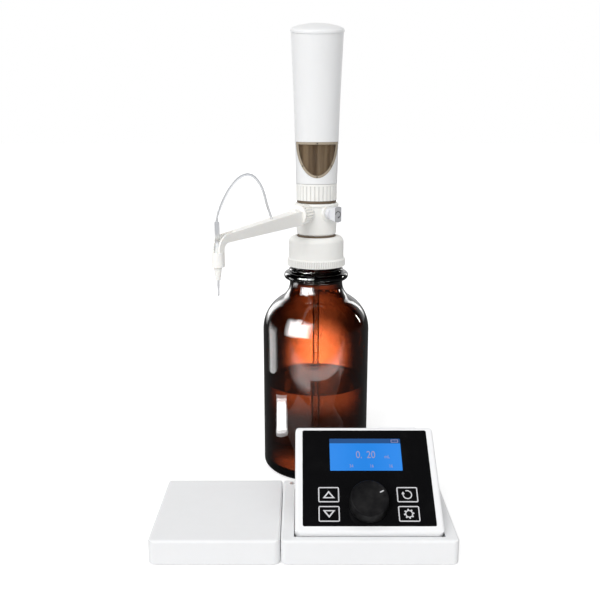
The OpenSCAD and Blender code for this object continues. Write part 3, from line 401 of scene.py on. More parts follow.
def brushed_group() -> bpy.types.NodeTree:
    """Drawn or turned metal: fine streaks across the given place's short axis.

    Returns:
        The group's node tree.
    """
    w, given, out = start_group("brushed", {
        "Place": (Socket.VECTOR, None), "Colour": (Socket.COLOUR, (1, 1, 1, 1)),
        "Roughness": (Socket.NUMBER, 0.3),
    }, {"Colour": Socket.COLOUR, "Roughness": Socket.NUMBER, "Height": Socket.NUMBER})
    streak = w.noise(given["Place"], 900.0, 2.0)
    w.put(out["Colour"], w.mix(w.math("MULTIPLY", streak, 0.3), given["Colour"], STREAK_TONE))
    w.put(out["Roughness"], w.math("ADD", given["Roughness"], w.math("MULTIPLY", streak, 0.18)))
    w.put(out["Height"], streak)
    return w.tree


def start_material(name: str) -> tuple[bpy.types.Material, Wiring, bpy.types.Node]:
    """Makes a material that has only its first shader.

    Args:
        name: the material's name.

    Returns:
        The material, its wiring and its Principled node.
    """
    material = bpy.data.materials.new(name)
    material.use_nodes = True
    return material, Wiring(material.node_tree), material.node_tree.nodes["Principled BSDF"]


class Groups:
    """The shader node groups, each built once."""

    def __init__(self) -> None:
        """Builds every group."""
        self.moulded = moulded_group()
        self.soft_wave = soft_wave_group()
        self.smudge = smudge_group()
        self.brushed = brushed_group()


# ---- Finishes ----

@dataclass(frozen=True)
class Finish:
    """One finish and the record's slot that it belongs to."""

    name: str
    slot: str
    colour: Colour

    @property
    def full(self) -> tuple[float, ...]:
        """The colour, with nothing showing through."""
        return (*self.colour, 1)

    def build(self, groups: Groups) -> bpy.types.Material:
        """Makes the finish's material.

        Args:
            groups: the shared node groups.

        Returns:
            The material.
        """
        material, w, shader = start_material(self.name)
        w.put(shader.inputs["Base Color"], self.full)
        self.dress(w, shader, groups)
        return material

    def dress(self, w: Wiring, shader: bpy.types.Node, groups: Groups) -> None:
        """Sets the shader's sockets, in each kind of finish's own way.

        Args:
            w: the material's wiring.
            shader: its Principled node.
            groups: the shared node groups.
        """
        raise NotImplementedError

    @staticmethod
    def bump(w: Wiring, shader: bpy.types.Node, height: bpy.types.NodeSocket,
             strength: float, depth: float) -> None:
        """Feeds a height through a Bump node to the shader's normal.

        Args:
            w: the material's wiring.
            shader: its Principled node.
            height: the height's socket.
            strength: the bump's strength.
            depth: the bump's depth.
        """
        node = w.add("Bump")
        w.settle(node, {"Strength": strength, "Distance": depth, "Height": height})
        w.put(shader.inputs["Normal"], node.outputs[0])


@dataclass(frozen=True)
class Plastic(Finish):
    """Moulded plastic or rubber."""

    roughness: float = 0.4
    mottle: float = 0.03
    spread: float = 0.08
    grain: float = 0.15
    grain_scale: float = 1800.0
    glow: float = 0.0
    shine: float = 0.5

    def dress(self, w: Wiring, shader: bpy.types.Node, groups: Groups) -> None:
        """Mottled colour and gloss with a fine grain, and a little light under the skin.

        Args:
            w: the material's wiring.
            shader: its Principled node.
            groups: the shared node groups.
        """
        made = w.group(groups.moulded, Place=w.placed(), Colour=self.full, Mottle=self.mottle,
                       Roughness=self.roughness, Spread=self.spread, Grain_Scale=self.grain_scale)
        self.bump(w, shader, made.outputs["Height"], self.grain, GRAIN_DEPTH)
        w.settle(shader, {
            "Base Color": made.outputs["Colour"], "Roughness": made.outputs["Roughness"],
            "Specular IOR Level": self.shine, "Subsurface Weight": self.glow, "Subsurface Scale": 0.3,
            "Subsurface Radius": SKIN_RADIUS})


@dataclass(frozen=True)
class RibbedPlastic(Plastic):
    """Moulded plastic that turns about an upright axis, with soft shade held between its ribs."""

    axis: tuple[float, float] = (0.0, 0.0)
    radius: float = 10.0 * MM
    depth: float = 0.6 * MM
    top: float = 1.0
    shade: float = 0.45
    soft: float = 0.2 * MM

    def dress(self, w: Wiring, shader: bpy.types.Node, groups: Groups) -> None:
        """The plain finish with painted shade, darker where the surface lies under the ribs' outer radius.

        Args:
            w: the material's wiring.
            shader: its Principled node.
            groups: the shared node groups.
        """
        super().dress(w, shader, groups)
        plain = shader.inputs["Base Color"].links[0].from_socket
        # Painted shade: the grooves, below the top height, are mixed towards a darker copy of the colour
        reach = w.length(w.placed((1, 1, 0), (-self.axis[0], -self.axis[1], 0)))
        deep = w.span(reach, self.radius - self.depth, self.radius - 0.1 * self.depth, 1.0, 0.0)
        height = w.parts(w.placed())[2]
        low = w.span(height, self.top - self.soft, self.top + self.soft, self.shade, 0.0)
        groove_shade_colour = (*[c * 0.35 for c in self.colour], 1)
        w.put(shader.inputs["Base Color"], w.mix(w.math("MULTIPLY", deep, low), plain, groove_shade_colour))


@dataclass(frozen=True)
class Metal(Finish):
    """Bright or dark metal, drawn or turned."""

    roughness: float = 0.3

    def dress(self, w: Wiring, shader: bpy.types.Node, groups: Groups) -> None:
        """Fine streaks in the colour, the gloss and the surface.

        Args:
            w: the material's wiring.
            shader: its Principled node.
            groups: the shared node groups.
        """
        made = w.group(groups.brushed, Place=w.placed((1, 1, 0.05)), Colour=self.full,
                       Roughness=self.roughness)
        w.settle(shader, {"Metallic": 1.0, "Base Color": made.outputs["Colour"],
                          "Roughness": made.outputs["Roughness"]})
        self.bump(w, shader, made.outputs["Height"], 0.1, STREAK_DEPTH)


@dataclass(frozen=True)
class ClearBody(Finish):
    """Glass, clear plastic or liquid that light passes through."""

    roughness: float = 0.0
    index: float = 1.5
    absorb: Colour = (1.0, 1.0, 1.0)
    density: float = 0.0
    wave: float = 0.0
    wave_scale: float = 20.0
    edge: Colour | None = None

    def dress(self, w: Wiring, shader: bpy.types.Node, groups: Groups) -> None:
        """Full transmission, a low wave in the surface, and colour that deepens with thickness.

        Args:
            w: the material's wiring.
            shader: its Principled node.
            groups: the shared node groups.
        """
        if self.edge:
            slant = w.add("LayerWeight", 0.5).outputs["Facing"]
            share = w.span(slant, 0.22, 0.72, 0.0, 1.0)
            w.put(shader.inputs["Base Color"], w.mix(share, self.full, (*self.edge, 1)))
        w.settle(shader, {"Transmission Weight": 1.0, "Roughness": self.roughness, "IOR": self.index})
        if self.wave:
            made = w.group(groups.soft_wave, Place=w.placed((1, 1, 0.45)), Scale=self.wave_scale)
            self.bump(w, shader, made.outputs["Height"], self.wave, WAVE_DEPTH)
        if self.density:
            volume = w.add("VolumeAbsorption", (*self.absorb, 1), self.density)
            w.put(w.tree.nodes["Material Output"].inputs["Volume"], volume.outputs[0])


@dataclass(frozen=True)
class ThinWall(Finish):
    """Thin smoked or clear wall that shows what is behind it, with painted reflections as darker upright
    streaks.
    """

    # Colour of the painted reflection streaks
    dark: Colour = (0.13, 0.08, 0.04)
    cover: float = 0.44

    def dress(self, w: Wiring, shader: bpy.types.Node, groups: Groups) -> None:
        """Painted reflections as upright streaks in the colour, a steady cover and a smeared gloss.

        Args:
            w: the material's wiring.
            shader: its Principled node.
            groups: the shared node groups.
        """
        # Painted reflection: darker upright streaks stand in for the round glass barrel's reflections
        painted_reflection_streaks = w.span(w.noise(w.placed((1, 1, 0.02)), 150.0, 2.0), 0.38, 0.62, 0.0, 1.0)
        made = w.group(groups.smudge, Place=w.placed(), Roughness=0.06, Amount=0.05)
        w.settle(shader, {"Base Color": w.mix(painted_reflection_streaks, self.full, (*self.dark, 1)),
                          "Roughness": made.outputs["Roughness"], "Alpha": self.cover})


@dataclass(frozen=True)
class Gloss(Finish):
    """Polished opaque surface with faint smears."""

    roughness: float = 0.06
    smears: float = 0.05

    def dress(self, w: Wiring, shader: bpy.types.Node, groups: Groups) -> None:
        """A plain colour under a gloss that smears roughen a little.

        Args:
            w: the material's wiring.
            shader: its Principled node.
            groups: the shared node groups.
        """
        made = w.group(groups.smudge, Place=w.placed(), Roughness=self.roughness, Amount=self.smears)
        dusty = (*[c * 0.93 + 0.002 for c in self.colour], 1)
        w.settle(shader, {"Roughness": made.outputs["Roughness"],
                          "Base Color": w.mix(made.outputs["Mask"], self.full, dusty)})


@dataclass(frozen=True)
class LitField(Finish):
    """The display's lit field, with a darker band along its top."""

    band: Colour = (0.02, 0.07, 0.2)
    band_from: float = 0.0
    soft: float = 0.3 * MM
    tilt: float = 0.0
    origin: tuple[float, float, float] = (0.0, 0.0, 0.0)

    def dress(self, w: Wiring, shader: bpy.types.Node, groups: Groups) -> None:
        """A blue glow with columns of slightly different brightness, as a backlight gives.

        Args:
            w: the material's wiring.
            shader: its Principled node.
            groups: the shared node groups, not used here.
        """
        from_middle = w.add("VectorMath", w.placed(), self.origin, operation="SUBTRACT").outputs[0]
        turn = w.add("VectorRotate", rotation_type="X_AXIS")
        w.settle(turn, {"Vector": from_middle, "Angle": -self.tilt})
        across, up, _ = w.parts(turn.outputs[0])
        top = w.span(up, self.band_from - self.soft, self.band_from + self.soft, 0.0, 1.0)
        glow = w.span(w.math("ABSOLUTE", across), 0.0, 0.03, 0.0, 0.35)
        pale = tuple(min(1.0, c * 1.12 + 0.03) for c in self.colour)
        blue = w.mix(glow, self.full, (*pale, 1))
        shade = w.mix(top, blue, (*self.band, 1))
        w.settle(shader, {"Base Color": shade, "Emission Color": shade, "Emission Strength": 0.2,
                          "Roughness": 0.12})


class Palette:
    """Every finish of the object, each made into a material once."""

    bottle_glass = ClearBody("amber_bottle_glass", "amber_glass", (1.0, 0.97, 0.93), roughness=0.012,
                             index=1.5, absorb=(0.47, 0.2, 0.003), density=1120.0, wave=0.1, wave_scale=16.0,
                             edge=(0.04, 0.03, 0.025))
    reagent = ClearBody("reagent_liquid", "clear_glass", (0.99, 0.99, 0.98), roughness=0.0, index=1.33)
    barrel_glass = ThinWall("barrel_glass", "clear_glass", (0.72, 0.75, 0.77), dark=(0.5, 0.53, 0.56),
                            cover=0.15)
    tube_polymer = ClearBody("clear_tube_polymer", "clear_tube", (0.95, 0.96, 0.98), roughness=0.15,
                             index=1.3, wave=0.02, wave_scale=90.0, edge=(0.52, 0.56, 0.64))
    nozzle_polymer = ClearBody("milky_nozzle_polymer", "clear_tube", (0.97, 0.975, 0.985), roughness=0.35,
                               index=1.18, edge=(0.68, 0.71, 0.77))
    nozzle_milky = Plastic("milky_nozzle_body", "clear_tube", (0.84, 0.85, 0.85), roughness=0.3, glow=0.3)
    smoked_pane = ThinWall("smoked_window_pane", "smoked", (0.3, 0.21, 0.125))
    shell_white = Plastic("moulded_white_shell", "white_shell", (0.86, 0.865, 0.875), roughness=0.38,
                          glow=0.05, grain=0.12)
    head_white = Plastic("satin_white_head", "white_head", (0.85, 0.855, 0.86), roughness=0.34, glow=0.05,
                         grain=0.08)
    warm_white = Plastic("turned_warm_white", "white_fluoro", (0.9, 0.895, 0.865), roughness=0.4, glow=0.15,
                         grain=0.1)
    arm_white = Plastic("moulded_arm_white", "white_arm", (0.97, 0.955, 0.915), roughness=0.36, glow=0.15,
                        grain=0.1)
    knob_white = Plastic("cool_white_knob", "cool_white", (0.78, 0.79, 0.82), roughness=0.3, glow=0.05)
    seal_brown = Plastic("brown_seal", "seal_brown", (0.17, 0.12, 0.075), roughness=0.5, grain=0.3)
    bead_red = Gloss("polished_bead", "bead_red", (0.55, 0.05, 0.04))
    bezel_brown = Plastic("smoked_bezel", "bezel_brown", (0.4, 0.34, 0.26), roughness=0.25, grain=0.05)
    pin_dark = Plastic("dark_pin", "pin_dark", (0.05, 0.04, 0.035), roughness=0.35)
    rod_dark = Metal("dark_rod", "rod_dark", (0.1, 0.105, 0.12), roughness=0.5)
    motor_dark = Metal("dark_motor_case", "motor_dark", (0.12, 0.12, 0.13), roughness=0.4)
    nut_bronze = Metal("turned_bronze", "bronze", (0.6, 0.42, 0.2), roughness=0.3)
    steel = Metal("bright_steel", "steel", (0.62, 0.62, 0.63), roughness=0.25)
    board_green = Plastic("circuit_board", "board_green", (0.02, 0.16, 0.06), roughness=0.35, mottle=0.2)
    cell_wrap = Plastic("cell_wrap", "cell", (0.05, 0.12, 0.32), roughness=0.3)
    panel_black = Gloss("black_panel_glass", "panel_black", (0.0045, 0.0045, 0.005), roughness=0.05)
    display_back = Gloss("display_frame", "display_blue", (0.02, 0.1, 0.3))
    knob_black = Plastic("black_knurled_knob", "knob_black", (0.006, 0.006, 0.007), roughness=0.5,
                         grain=0.4, mottle=0.05, shine=0.12)
    mark_grey = Gloss("grey_light_guide", "mark_grey", (0.3, 0.3, 0.3), roughness=0.2)
    bottom_grey = Plastic("dark_grey_bottom", "bottom_grey", (0.07, 0.07, 0.075), roughness=0.55, grain=0.5)
    foot_rubber = Plastic("black_foot_rubber", "foot_rubber", (0.02, 0.02, 0.02), roughness=0.75, grain=0.6)
    key_ink = Plastic("printed_key_ink", "panel_black", (0.62, 0.62, 0.64), roughness=0.5, mottle=0.04)
    # Painted shade: a grey film over the valve knob's end, where the end lies in shade
    shaded_tap_end = Plastic("grey_tap_face", "cool_white", (0.44, 0.445, 0.46), roughness=0.4, mottle=0.02)
    tap_ink = Plastic("printed_tap_arrow", "cool_white", (0.08, 0.08, 0.085), roughness=0.5, mottle=0.02)
    segment_ink = Plastic("display_segment", "display_blue", (0.3, 0.29, 0.48), roughness=0.5, mottle=0.02)

    def __init__(self, groups: Groups) -> None:
        """Keeps the groups that the materials are built from."""
        self.groups = groups
        self.made: dict[str, bpy.types.Material] = {}

    def material(self, finish: Finish) -> bpy.types.Material:
        """The finish's material, built when it is first asked for.

        Args:
            finish: the finish.

        Returns:
            Its material.
        """
        if finish.name not in self.made:
            self.made[finish.name] = finish.build(self.groups)
        return self.made[finish.name]


# ---- Mesh helpers ----

def arc(centre: tuple[float, float], radius: float, start: float, end: float,
        parts: int = 8) -> list[tuple[float, float]]:
    """Points of an arc in an outline.

    Args:
        centre: the arc's centre.
        radius: its radius.
        start: the first angle in degrees, from the outline's first axis.
        end: the last angle in degrees.
        parts: how many straight stretches.

    Returns:
        The points, both ends included.
    """
    angles = [math.radians(start + (end - start) * i / parts) for i in range(parts + 1)]
    return [(centre[0] + radius * math.cos(a), centre[1] + radius * math.sin(a)) for a in angles]


def lathe(outline: Outline, steps: int) -> Sheet:
    """Turns an outline of radius and height, which starts and ends on the axis, about the upright axis.

    Args:
        outline: the points, in metres.
        steps: how many parts a full turn has.

    Returns:
        The closed mesh with its faces outwards.
    """
    mesh = bmesh.new()
    points = [mesh.verts.new((r, 0, z)) for r, z in outline]
    lines = [mesh.edges.new(pair) for pair in zip(points, points[1:])]
    bmesh.ops.spin(mesh, geom=points + lines, cent=(0, 0, 0), axis=(0, 0, 1), dvec=(0, 0, 0),
                   angle=TURN, steps=steps, use_merge=True, use_duplicate=False)
    tidy(mesh)
    return mesh


def tidy(mesh: Sheet) -> None:
    """Merges doubled points, closes poles and turns the faces outwards.

    Args:
        mesh: the mesh, which is changed.
    """
    bmesh.ops.remove_doubles(mesh, verts=mesh.verts, dist=1e-6)
    bmesh.ops.dissolve_degenerate(mesh, dist=1e-7, edges=mesh.edges)
    bmesh.ops.recalc_face_normals(mesh, faces=mesh.faces)


def film(mesh: Sheet, depth: float) -> Sheet:
    """Gives a flat mesh a thickness, so that it is a closed film of ink.

    Args:
        mesh: the flat mesh.
        depth: the film's thickness.

    Returns:
        The same mesh, closed.
    """
    bmesh.ops.recalc_face_normals(mesh, faces=mesh.faces)
    grown = bmesh.ops.extrude_face_region(mesh, geom=mesh.faces[:])
    tops = [v for v in grown["geom"] if isinstance(v, bmesh.types.BMVert)]
    bmesh.ops.translate(mesh, vec=(0, 0, depth), verts=tops)
    bmesh.ops.recalc_face_normals(mesh, faces=mesh.faces)
    return mesh


def open_ring(radius: float, width: float, start_deg: float, sweep_deg: float, steps: int,
              head_radius: float, head_at: Vector) -> Sheet:
    """A flat ring that is open on one side, with a three-cornered arrow head.

    Args:
        radius: the ring's middle radius.
        width: its width.
        start_deg: where it starts.
        sweep_deg: how far it goes round, negative for clockwise.
        steps: how many straight stretches it has.
        head_radius: the arrow head's size.
        head_at: the arrow head's middle.

    Returns:
        The flat mesh.
    """
    mesh = bmesh.new()
    ends = [mesh.verts.new((radius + side, 0, 0)) for side in (-width / 2, width / 2)]
    line = mesh.edges.new(ends)
    to_start = Matrix.Rotation(math.radians(start_deg), 3, "Z")
    bmesh.ops.rotate(mesh, cent=(0, 0, 0), matrix=to_start, verts=ends)
    bmesh.ops.spin(mesh, geom=ends + [line], cent=(0, 0, 0), axis=(0, 0, 1), dvec=(0, 0, 0),
                   angle=math.radians(sweep_deg), steps=steps, use_merge=False, use_duplicate=False)
    head = bmesh.ops.create_circle(mesh, cap_ends=True, segments=3, radius=head_radius)
    bmesh.ops.translate(mesh, vec=head_at, verts=head["verts"])
    return mesh


def place_mesh(name: str, mesh: Sheet, material: bpy.types.Material) -> bpy.types.Object:
    """Makes an object of a mesh, which is used up.

    Args:
        name: the object's name.
        mesh: the mesh.
        material: its material.

    Returns:
        The object, linked to the scene.
    """
    data = bpy.data.meshes.new(name)
    mesh.to_mesh(data)
    mesh.free()
    data.materials.append(material)
    return place_object(name, data)


def place_object(name: str, data: bpy.types.ID) -> bpy.types.Object:
    """Adds an object to the scene.

    Args:
        name: the object's name.
        data: its mesh, curve, lamp or camera.

    Returns:
        The object.
    """
    thing = bpy.data.objects.new(name, data)
    bpy.context.scene.collection.objects.link(thing)
    return thing


def add_piece(name: str, mesh: Sheet, body: str, finish: Finish, palette: Palette,
              place: Matrix = Matrix.Identity(4), sharp_deg: float = 32.0,
              stands_for: Iterable[str] = ()) -> bpy.types.Object:
    """Makes an object of a mesh, dresses it and lets it ride on a body.

    Args:
        name: the piece's name.
        mesh: its mesh, which is used up.
        body: the CAD body that it moves with.
        finish: its finish.
        palette: where the material comes from.
        place: where the mesh goes in the shared frame.
        sharp_deg: edges that turn by more than this stay sharp.
        stands_for: CAD nodes that the piece replaces.

    Returns:
        The object, at the origin with its place in its mesh.
    """
    bmesh.ops.transform(mesh, matrix=place, verts=mesh.verts, space=Matrix.Identity(4))
    limit = math.radians(sharp_deg)
    for face in mesh.faces:
        face.smooth = True
    for edge in mesh.edges:
        edge.smooth = not (edge.is_manifold and edge.calc_face_angle(0.0) > limit)
    piece = place_mesh(name, mesh, palette.material(finish))
    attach(piece, body)
    if stands_for:
        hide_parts(*stands_for)
    LOG.info("piece %s on body %s", name, body)
    return piece


# ---- Sub-assemblies ----

@dataclass
class SubAssembly:
    """A group of pieces that is built and dressed together."""

    layout: Layout
    palette: Palette

    def dress_nodes(self, finishes: dict[Finish, Sequence[str]]) -> None:
        """Gives CAD nodes, which keep their shape, a finish.

        Args:
            finishes: the nodes of each finish.
        """
        for finish, nodes in finishes.items():
            for node in nodes:
                data = frame["nodes"][node].data
                data.materials.clear()
                data.materials.append(self.palette.material(finish))
                LOG.info("node %s dressed as %s", node, finish.name)


@dataclass
class ReagentBottle(SubAssembly):
    """The amber bottle, what it holds, and the tubes that reach into it."""

    wall: float = 2.6 * MM
    base: float = 7.0 * MM
    level: float = 86.0 * MM
    foot_radius: float = 6.0 * MM
    shoulder_height: float = 45.0 * MM
    wall_height: float = 138.0 * MM
    neck_radius: float = 24.9 * MM
    flange_radius: float = 30.25 * MM
    flange_depth: float = 7.3 * MM
    bead_radius: float = 25.6 * MM
    bead_depth: float = 3.4 * MM
    finish_radius: float = 22.4 * MM
    finish_height: float = 28.15 * MM
    lip_wall: float = 2.8 * MM
    lip_round: float = 1.2 * MM
    lip_round_in: float = 0.8 * MM
    film: float = 0.06 * MM
    creep: float = 1.1 * MM
    shoulder_share: float = 36 / 50.5
    glass_steps: int = 160
    liquid_steps: int = 128

    def __post_init__(self) -> None:
        """Works out the body's radius and the shoulder's two arcs."""
        low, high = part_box("bottle")
        self.radius = (high.x - low.x) / 2
        self.lip = high.z
        self.flange_top = self.lip - self.finish_height
        self.flange_foot = self.flange_top - self.flange_depth
        self.neck_foot = self.wall_height + self.shoulder_height
        self.shoulder_radius = self.radius * self.shoulder_share
        self.shoulder_in = self.radius - self.shoulder_radius
        step = self.neck_radius - self.shoulder_in
        top = self.shoulder_height
        self.hollow_radius = ((step * step + top * top - self.shoulder_radius ** 2)
                              / (2 * (self.shoulder_radius - step)))
        self.hollow_in = self.neck_radius + self.hollow_radius
        self.lean = math.degrees(math.atan2(top, self.hollow_in - self.shoulder_in))

    def outside(self) -> list[tuple[float, float]]:
        """Outline of the glass's outer face, from the middle of the base to the lip.

        Returns:
            Points of radius and height.
        """
        r, foot = self.radius, self.foot_radius
        points = [(0, 3.0 * MM), (r - foot - 14 * MM, 2.6 * MM), (r - foot - 5 * MM, 1.2 * MM),
                  (r - foot - 2.6 * MM, 0.0)]
        points += arc((r - foot, foot), foot, -90, 0, 12)
        points += arc((self.shoulder_in, self.wall_height), self.shoulder_radius, 0, self.lean, 24)
        points += arc((self.hollow_in, self.neck_foot), self.hollow_radius, 180 + self.lean, 180, 16)
        half = self.flange_depth / 2
        points += [(self.neck_radius, self.flange_foot - 1.4 * MM)]
        points += [(self.neck_radius + 0.5 * MM, self.flange_foot - 0.3 * MM)]
        points += arc((self.flange_radius - half, self.flange_foot + half), half, -82, 78, 16)
        bead = self.bead_depth / 2
        points += arc((self.bead_radius - bead, self.flange_top + bead), bead, -60, 82, 10)
        neck_top = self.flange_top + self.bead_depth
        rim = self.lip_round
        points += [(self.finish_radius, neck_top + 0.3 * MM), (self.finish_radius, self.lip - rim)]
        points += arc((self.finish_radius - rim, self.lip - rim), rim, 15, 90, 4)
        return points

    def inside(self) -> list[tuple[float, float]]:
        """Outline of the glass's inner face, from the middle of the base up to the lip.

        Returns:
            Points of radius and height.
        """
        r, t, foot = self.radius, self.wall, self.foot_radius
        points = [(0, self.base + 0.8 * MM), (r - t - foot - 12 * MM, self.base + 0.2 * MM)]
        points += arc((r - t - foot, foot + self.base - 1 * MM), foot, -90, 0, 10)
        points += arc((self.shoulder_in, self.wall_height), self.shoulder_radius - t, 0, self.lean, 24)
        points += arc((self.hollow_in, self.neck_foot), self.hollow_radius + t, 180 + self.lean, 180, 16)
        bore = self.finish_radius - self.lip_wall
        points += [(self.neck_radius - t, self.flange_foot - 1.5 * MM), (bore, self.flange_foot + 2 * MM),
                   (bore, self.lip - 1.0 * MM)]
        rim = self.lip_round_in
        points += arc((bore + rim, self.lip - rim), rim, 180, 90, 3)
        return points

    def glass(self) -> None:
        """The bottle itself: a wall between two outlines, with a thick base."""
        mesh = lathe(self.outside() + self.inside()[::-1], self.glass_steps)
        add_piece("bottle_glass", mesh, "root", Palette.bottle_glass, self.palette,
                  self.layout.on_axis(), sharp_deg=50, stands_for=["bottle"])

    def liquid(self) -> None:
        """The reagent, with a meniscus that climbs the wall."""
        wet = [(max(0.0, r - self.film), z + self.film) for r, z in self.inside() if z < self.wall_height]
        wet = [p for p in wet if p[1] < self.level]
        rim, climb = self.radius - self.wall - self.film, self.creep
        wet += [(rim, self.level + climb)]
        wet += [(rim - 0.35 * MM, self.level + 0.45 * climb), (rim - 1.2 * MM, self.level + 0.1 * climb),
                (rim - 3 * MM, self.level), (0, self.level)]
        mesh = lathe(wet, self.liquid_steps)
        add_piece("reagent", mesh, "root", Palette.reagent, self.palette, self.layout.on_axis(), sharp_deg=60)

    def build(self) -> None:
        """Builds the glass and the liquid, and dresses the tubes and the gasket."""
        self.glass()
        self.liquid()
        self.dress_nodes({Palette.warm_white: ["bottle_gasket"],
                          Palette.tube_polymer: ["dip_tube", "return_tube"]})


@dataclass
class ValveStack(SubAssembly):
    """Screw cap, valve block, tap, coupling ring and barrel."""

    arrow_radius: float = 2.7 * MM
    arrow_width: float = 0.75 * MM
    arrow_start_deg: float = 20.0
    arrow_sweep_deg: float = 250.0
    arrow_head: float = 1.2 * MM
    face_radius: float = 7.0 * MM
    face_half: float = 3.4 * MM
    ink: float = 0.05 * MM
    cap_rim: float = 6.2 * MM

    def printed(self, name: str, mesh: Sheet, finish: Finish, out: float) -> None:
        """Lays a flat shape on the valve knob's outer end as a film.

        Args:
            name: the piece's name.
            mesh: the flat shape, round the origin.
            finish: its finish.
            out: its distance from the bottle's axis.
        """
        add_piece(name, film(mesh, self.ink), "tap", finish, self.palette, self.layout.on_tap(out))

    def knob_face(self) -> None:
        """The valve knob's end: a grey film of painted shade over it, and the curved arrow printed on it."""
        out = reach_of("valve_knob", self.layout.on_tap(0))
        end = bmesh.new()
        bmesh.ops.create_circle(end, cap_ends=True, segments=64, radius=self.face_radius)
        for side in (-1, 1):
            bmesh.ops.bisect_plane(end, geom=end.verts[:] + end.edges[:] + end.faces[:], clear_outer=True,
                                   plane_co=(0, side * self.face_half, 0), plane_no=(0, side, 0))
        # Painted shade: the film darkens the knob's end, which faces away from the light
        self.printed("tap_face", end, Palette.shaded_tap_end, out)
        to_start = Matrix.Rotation(math.radians(self.arrow_start_deg), 3, "Z")
        arrow = open_ring(self.arrow_radius, self.arrow_width, self.arrow_start_deg, self.arrow_sweep_deg,
                          28, self.arrow_head, to_start @ Vector((self.arrow_radius, -0.4 * MM, 0)))
        self.printed("tap_arrow", arrow, Palette.tap_ink, out + self.ink)

    def ribbed(self, node: str, **changes: float) -> RibbedPlastic:
        """The warm white finish with shade between a round node's ribs.

        Args:
            node: the ribbed node.
            changes: other values of the finish.

        Returns:
            The node's finish.
        """
        low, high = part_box(node)
        white, axis = Palette.warm_white, self.layout.bottle_axis
        return RibbedPlastic(f"ribbed_{node}", white.slot, white.colour, roughness=0.4, glow=0.1,
                             axis=(axis.x, axis.y), radius=(high.x - low.x) / 2, **changes)

    def build(self) -> None:
        """Prints the knob's end and dresses the stack's nodes."""
        self.knob_face()
        rim_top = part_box("screw_cap")[0].z + self.cap_rim
        self.dress_nodes({
            self.ribbed("coupling_ring"): ["coupling_ring"],
            self.ribbed("screw_cap", top=rim_top, shade=0.28): ["screw_cap"],
            Palette.warm_white: ["valve_block", "intake_valve", "outlet_fitting"],
            Palette.seal_brown: ["cap_seal_ring", "block_seal_ring"],
            Palette.bead_red: ["intake_ball", "outlet_ball"],
            Palette.knob_white: ["valve_key", "valve_knob"], Palette.barrel_glass: ["glass_barrel"],
        })


@dataclass
class DriveHead(SubAssembly):
    """Head housing with its window, and the piston drive inside."""

    def build(self) -> None:
        """Dresses the head's nodes."""
        self.dress_nodes({
            Palette.head_white: ["head_housing", "head_cap"], Palette.bezel_brown: ["window_bezel"],
            Palette.smoked_pane: ["window_pane"], Palette.pin_dark: ["window_pins"],
            Palette.motor_dark: ["drive_motor"], Palette.nut_bronze: ["drive_nut"],
            Palette.warm_white: ["piston"], Palette.seal_brown: ["piston_seal"],
            Palette.rod_dark: ["piston_rod"], Palette.arm_white: ["rod_guide"],
            Palette.steel: ["guide_rod"], Palette.board_green: ["head_board"],
            Palette.cell_wrap: ["head_battery"],
        })


@dataclass
class NozzleArm(SubAssembly):
    """The arm, its nut, the titration tube and the nozzle."""

    tube_diameter: float = 2.0 * MM
    # Free stretch of the tube in mm: distance from the bottle's axis, height above the arm's level
    route_mm: tuple[tuple[float, float], ...] = (
        (77.0, -1.0), (79.2, 2.8), (81.4, 6.6), (83.6, 10.4), (85.8, 14.6), (87.7, 19.0), (89.8, 23.4),
        (92.4, 27.6), (95.6, 31.4), (99.6, 34.8), (104.0, 37.6), (108.6, 39.4), (113.4, 40.2),
        (118.4, 39.9), (123.4, 38.8), (128.2, 37.0), (132.7, 34.6), (136.9, 31.8), (140.7, 28.8),
        (144.3, 25.4), (147.5, 21.9), (150.4, 18.3), (152.9, 14.6), (154.9, 10.8), (155.8, 6.9),
        (155.8, 2.4), (155.8, -2.0))

    def tube(self) -> None:
        """The free loop of tube, from the arm over to the nozzle's sleeve."""
        place = self.layout.along_arm()
        points = [place @ Vector((d * MM, 0, h * MM)) for d, h in self.route_mm]
        curve = bpy.data.curves.new("titration_loop", "CURVE")
        curve.dimensions = "3D"
        curve.bevel_depth = self.tube_diameter / 2
        curve.bevel_resolution = 4
        curve.use_fill_caps = True
        line = curve.splines.new("POLY")
        line.points.add(len(points) - 1)
        for spot, point in zip(line.points, points):
            spot.co = (*point, 1)
        line.use_smooth = True
        piece = place_object("titration_loop", curve)
        curve.materials.append(self.palette.material(Palette.tube_polymer))
        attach(piece, "dispenser")
        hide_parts("titration_tube")

    def build(self) -> None:
        """Builds the tube and dresses the arm's nodes."""
        self.tube()
        self.dress_nodes({
            Palette.arm_white: ["arm_nut", "arm", "nozzle_tip"], Palette.nozzle_milky: ["nozzle_body"],
            Palette.nozzle_polymer: ["tube_sleeve", "capillary"],
        })


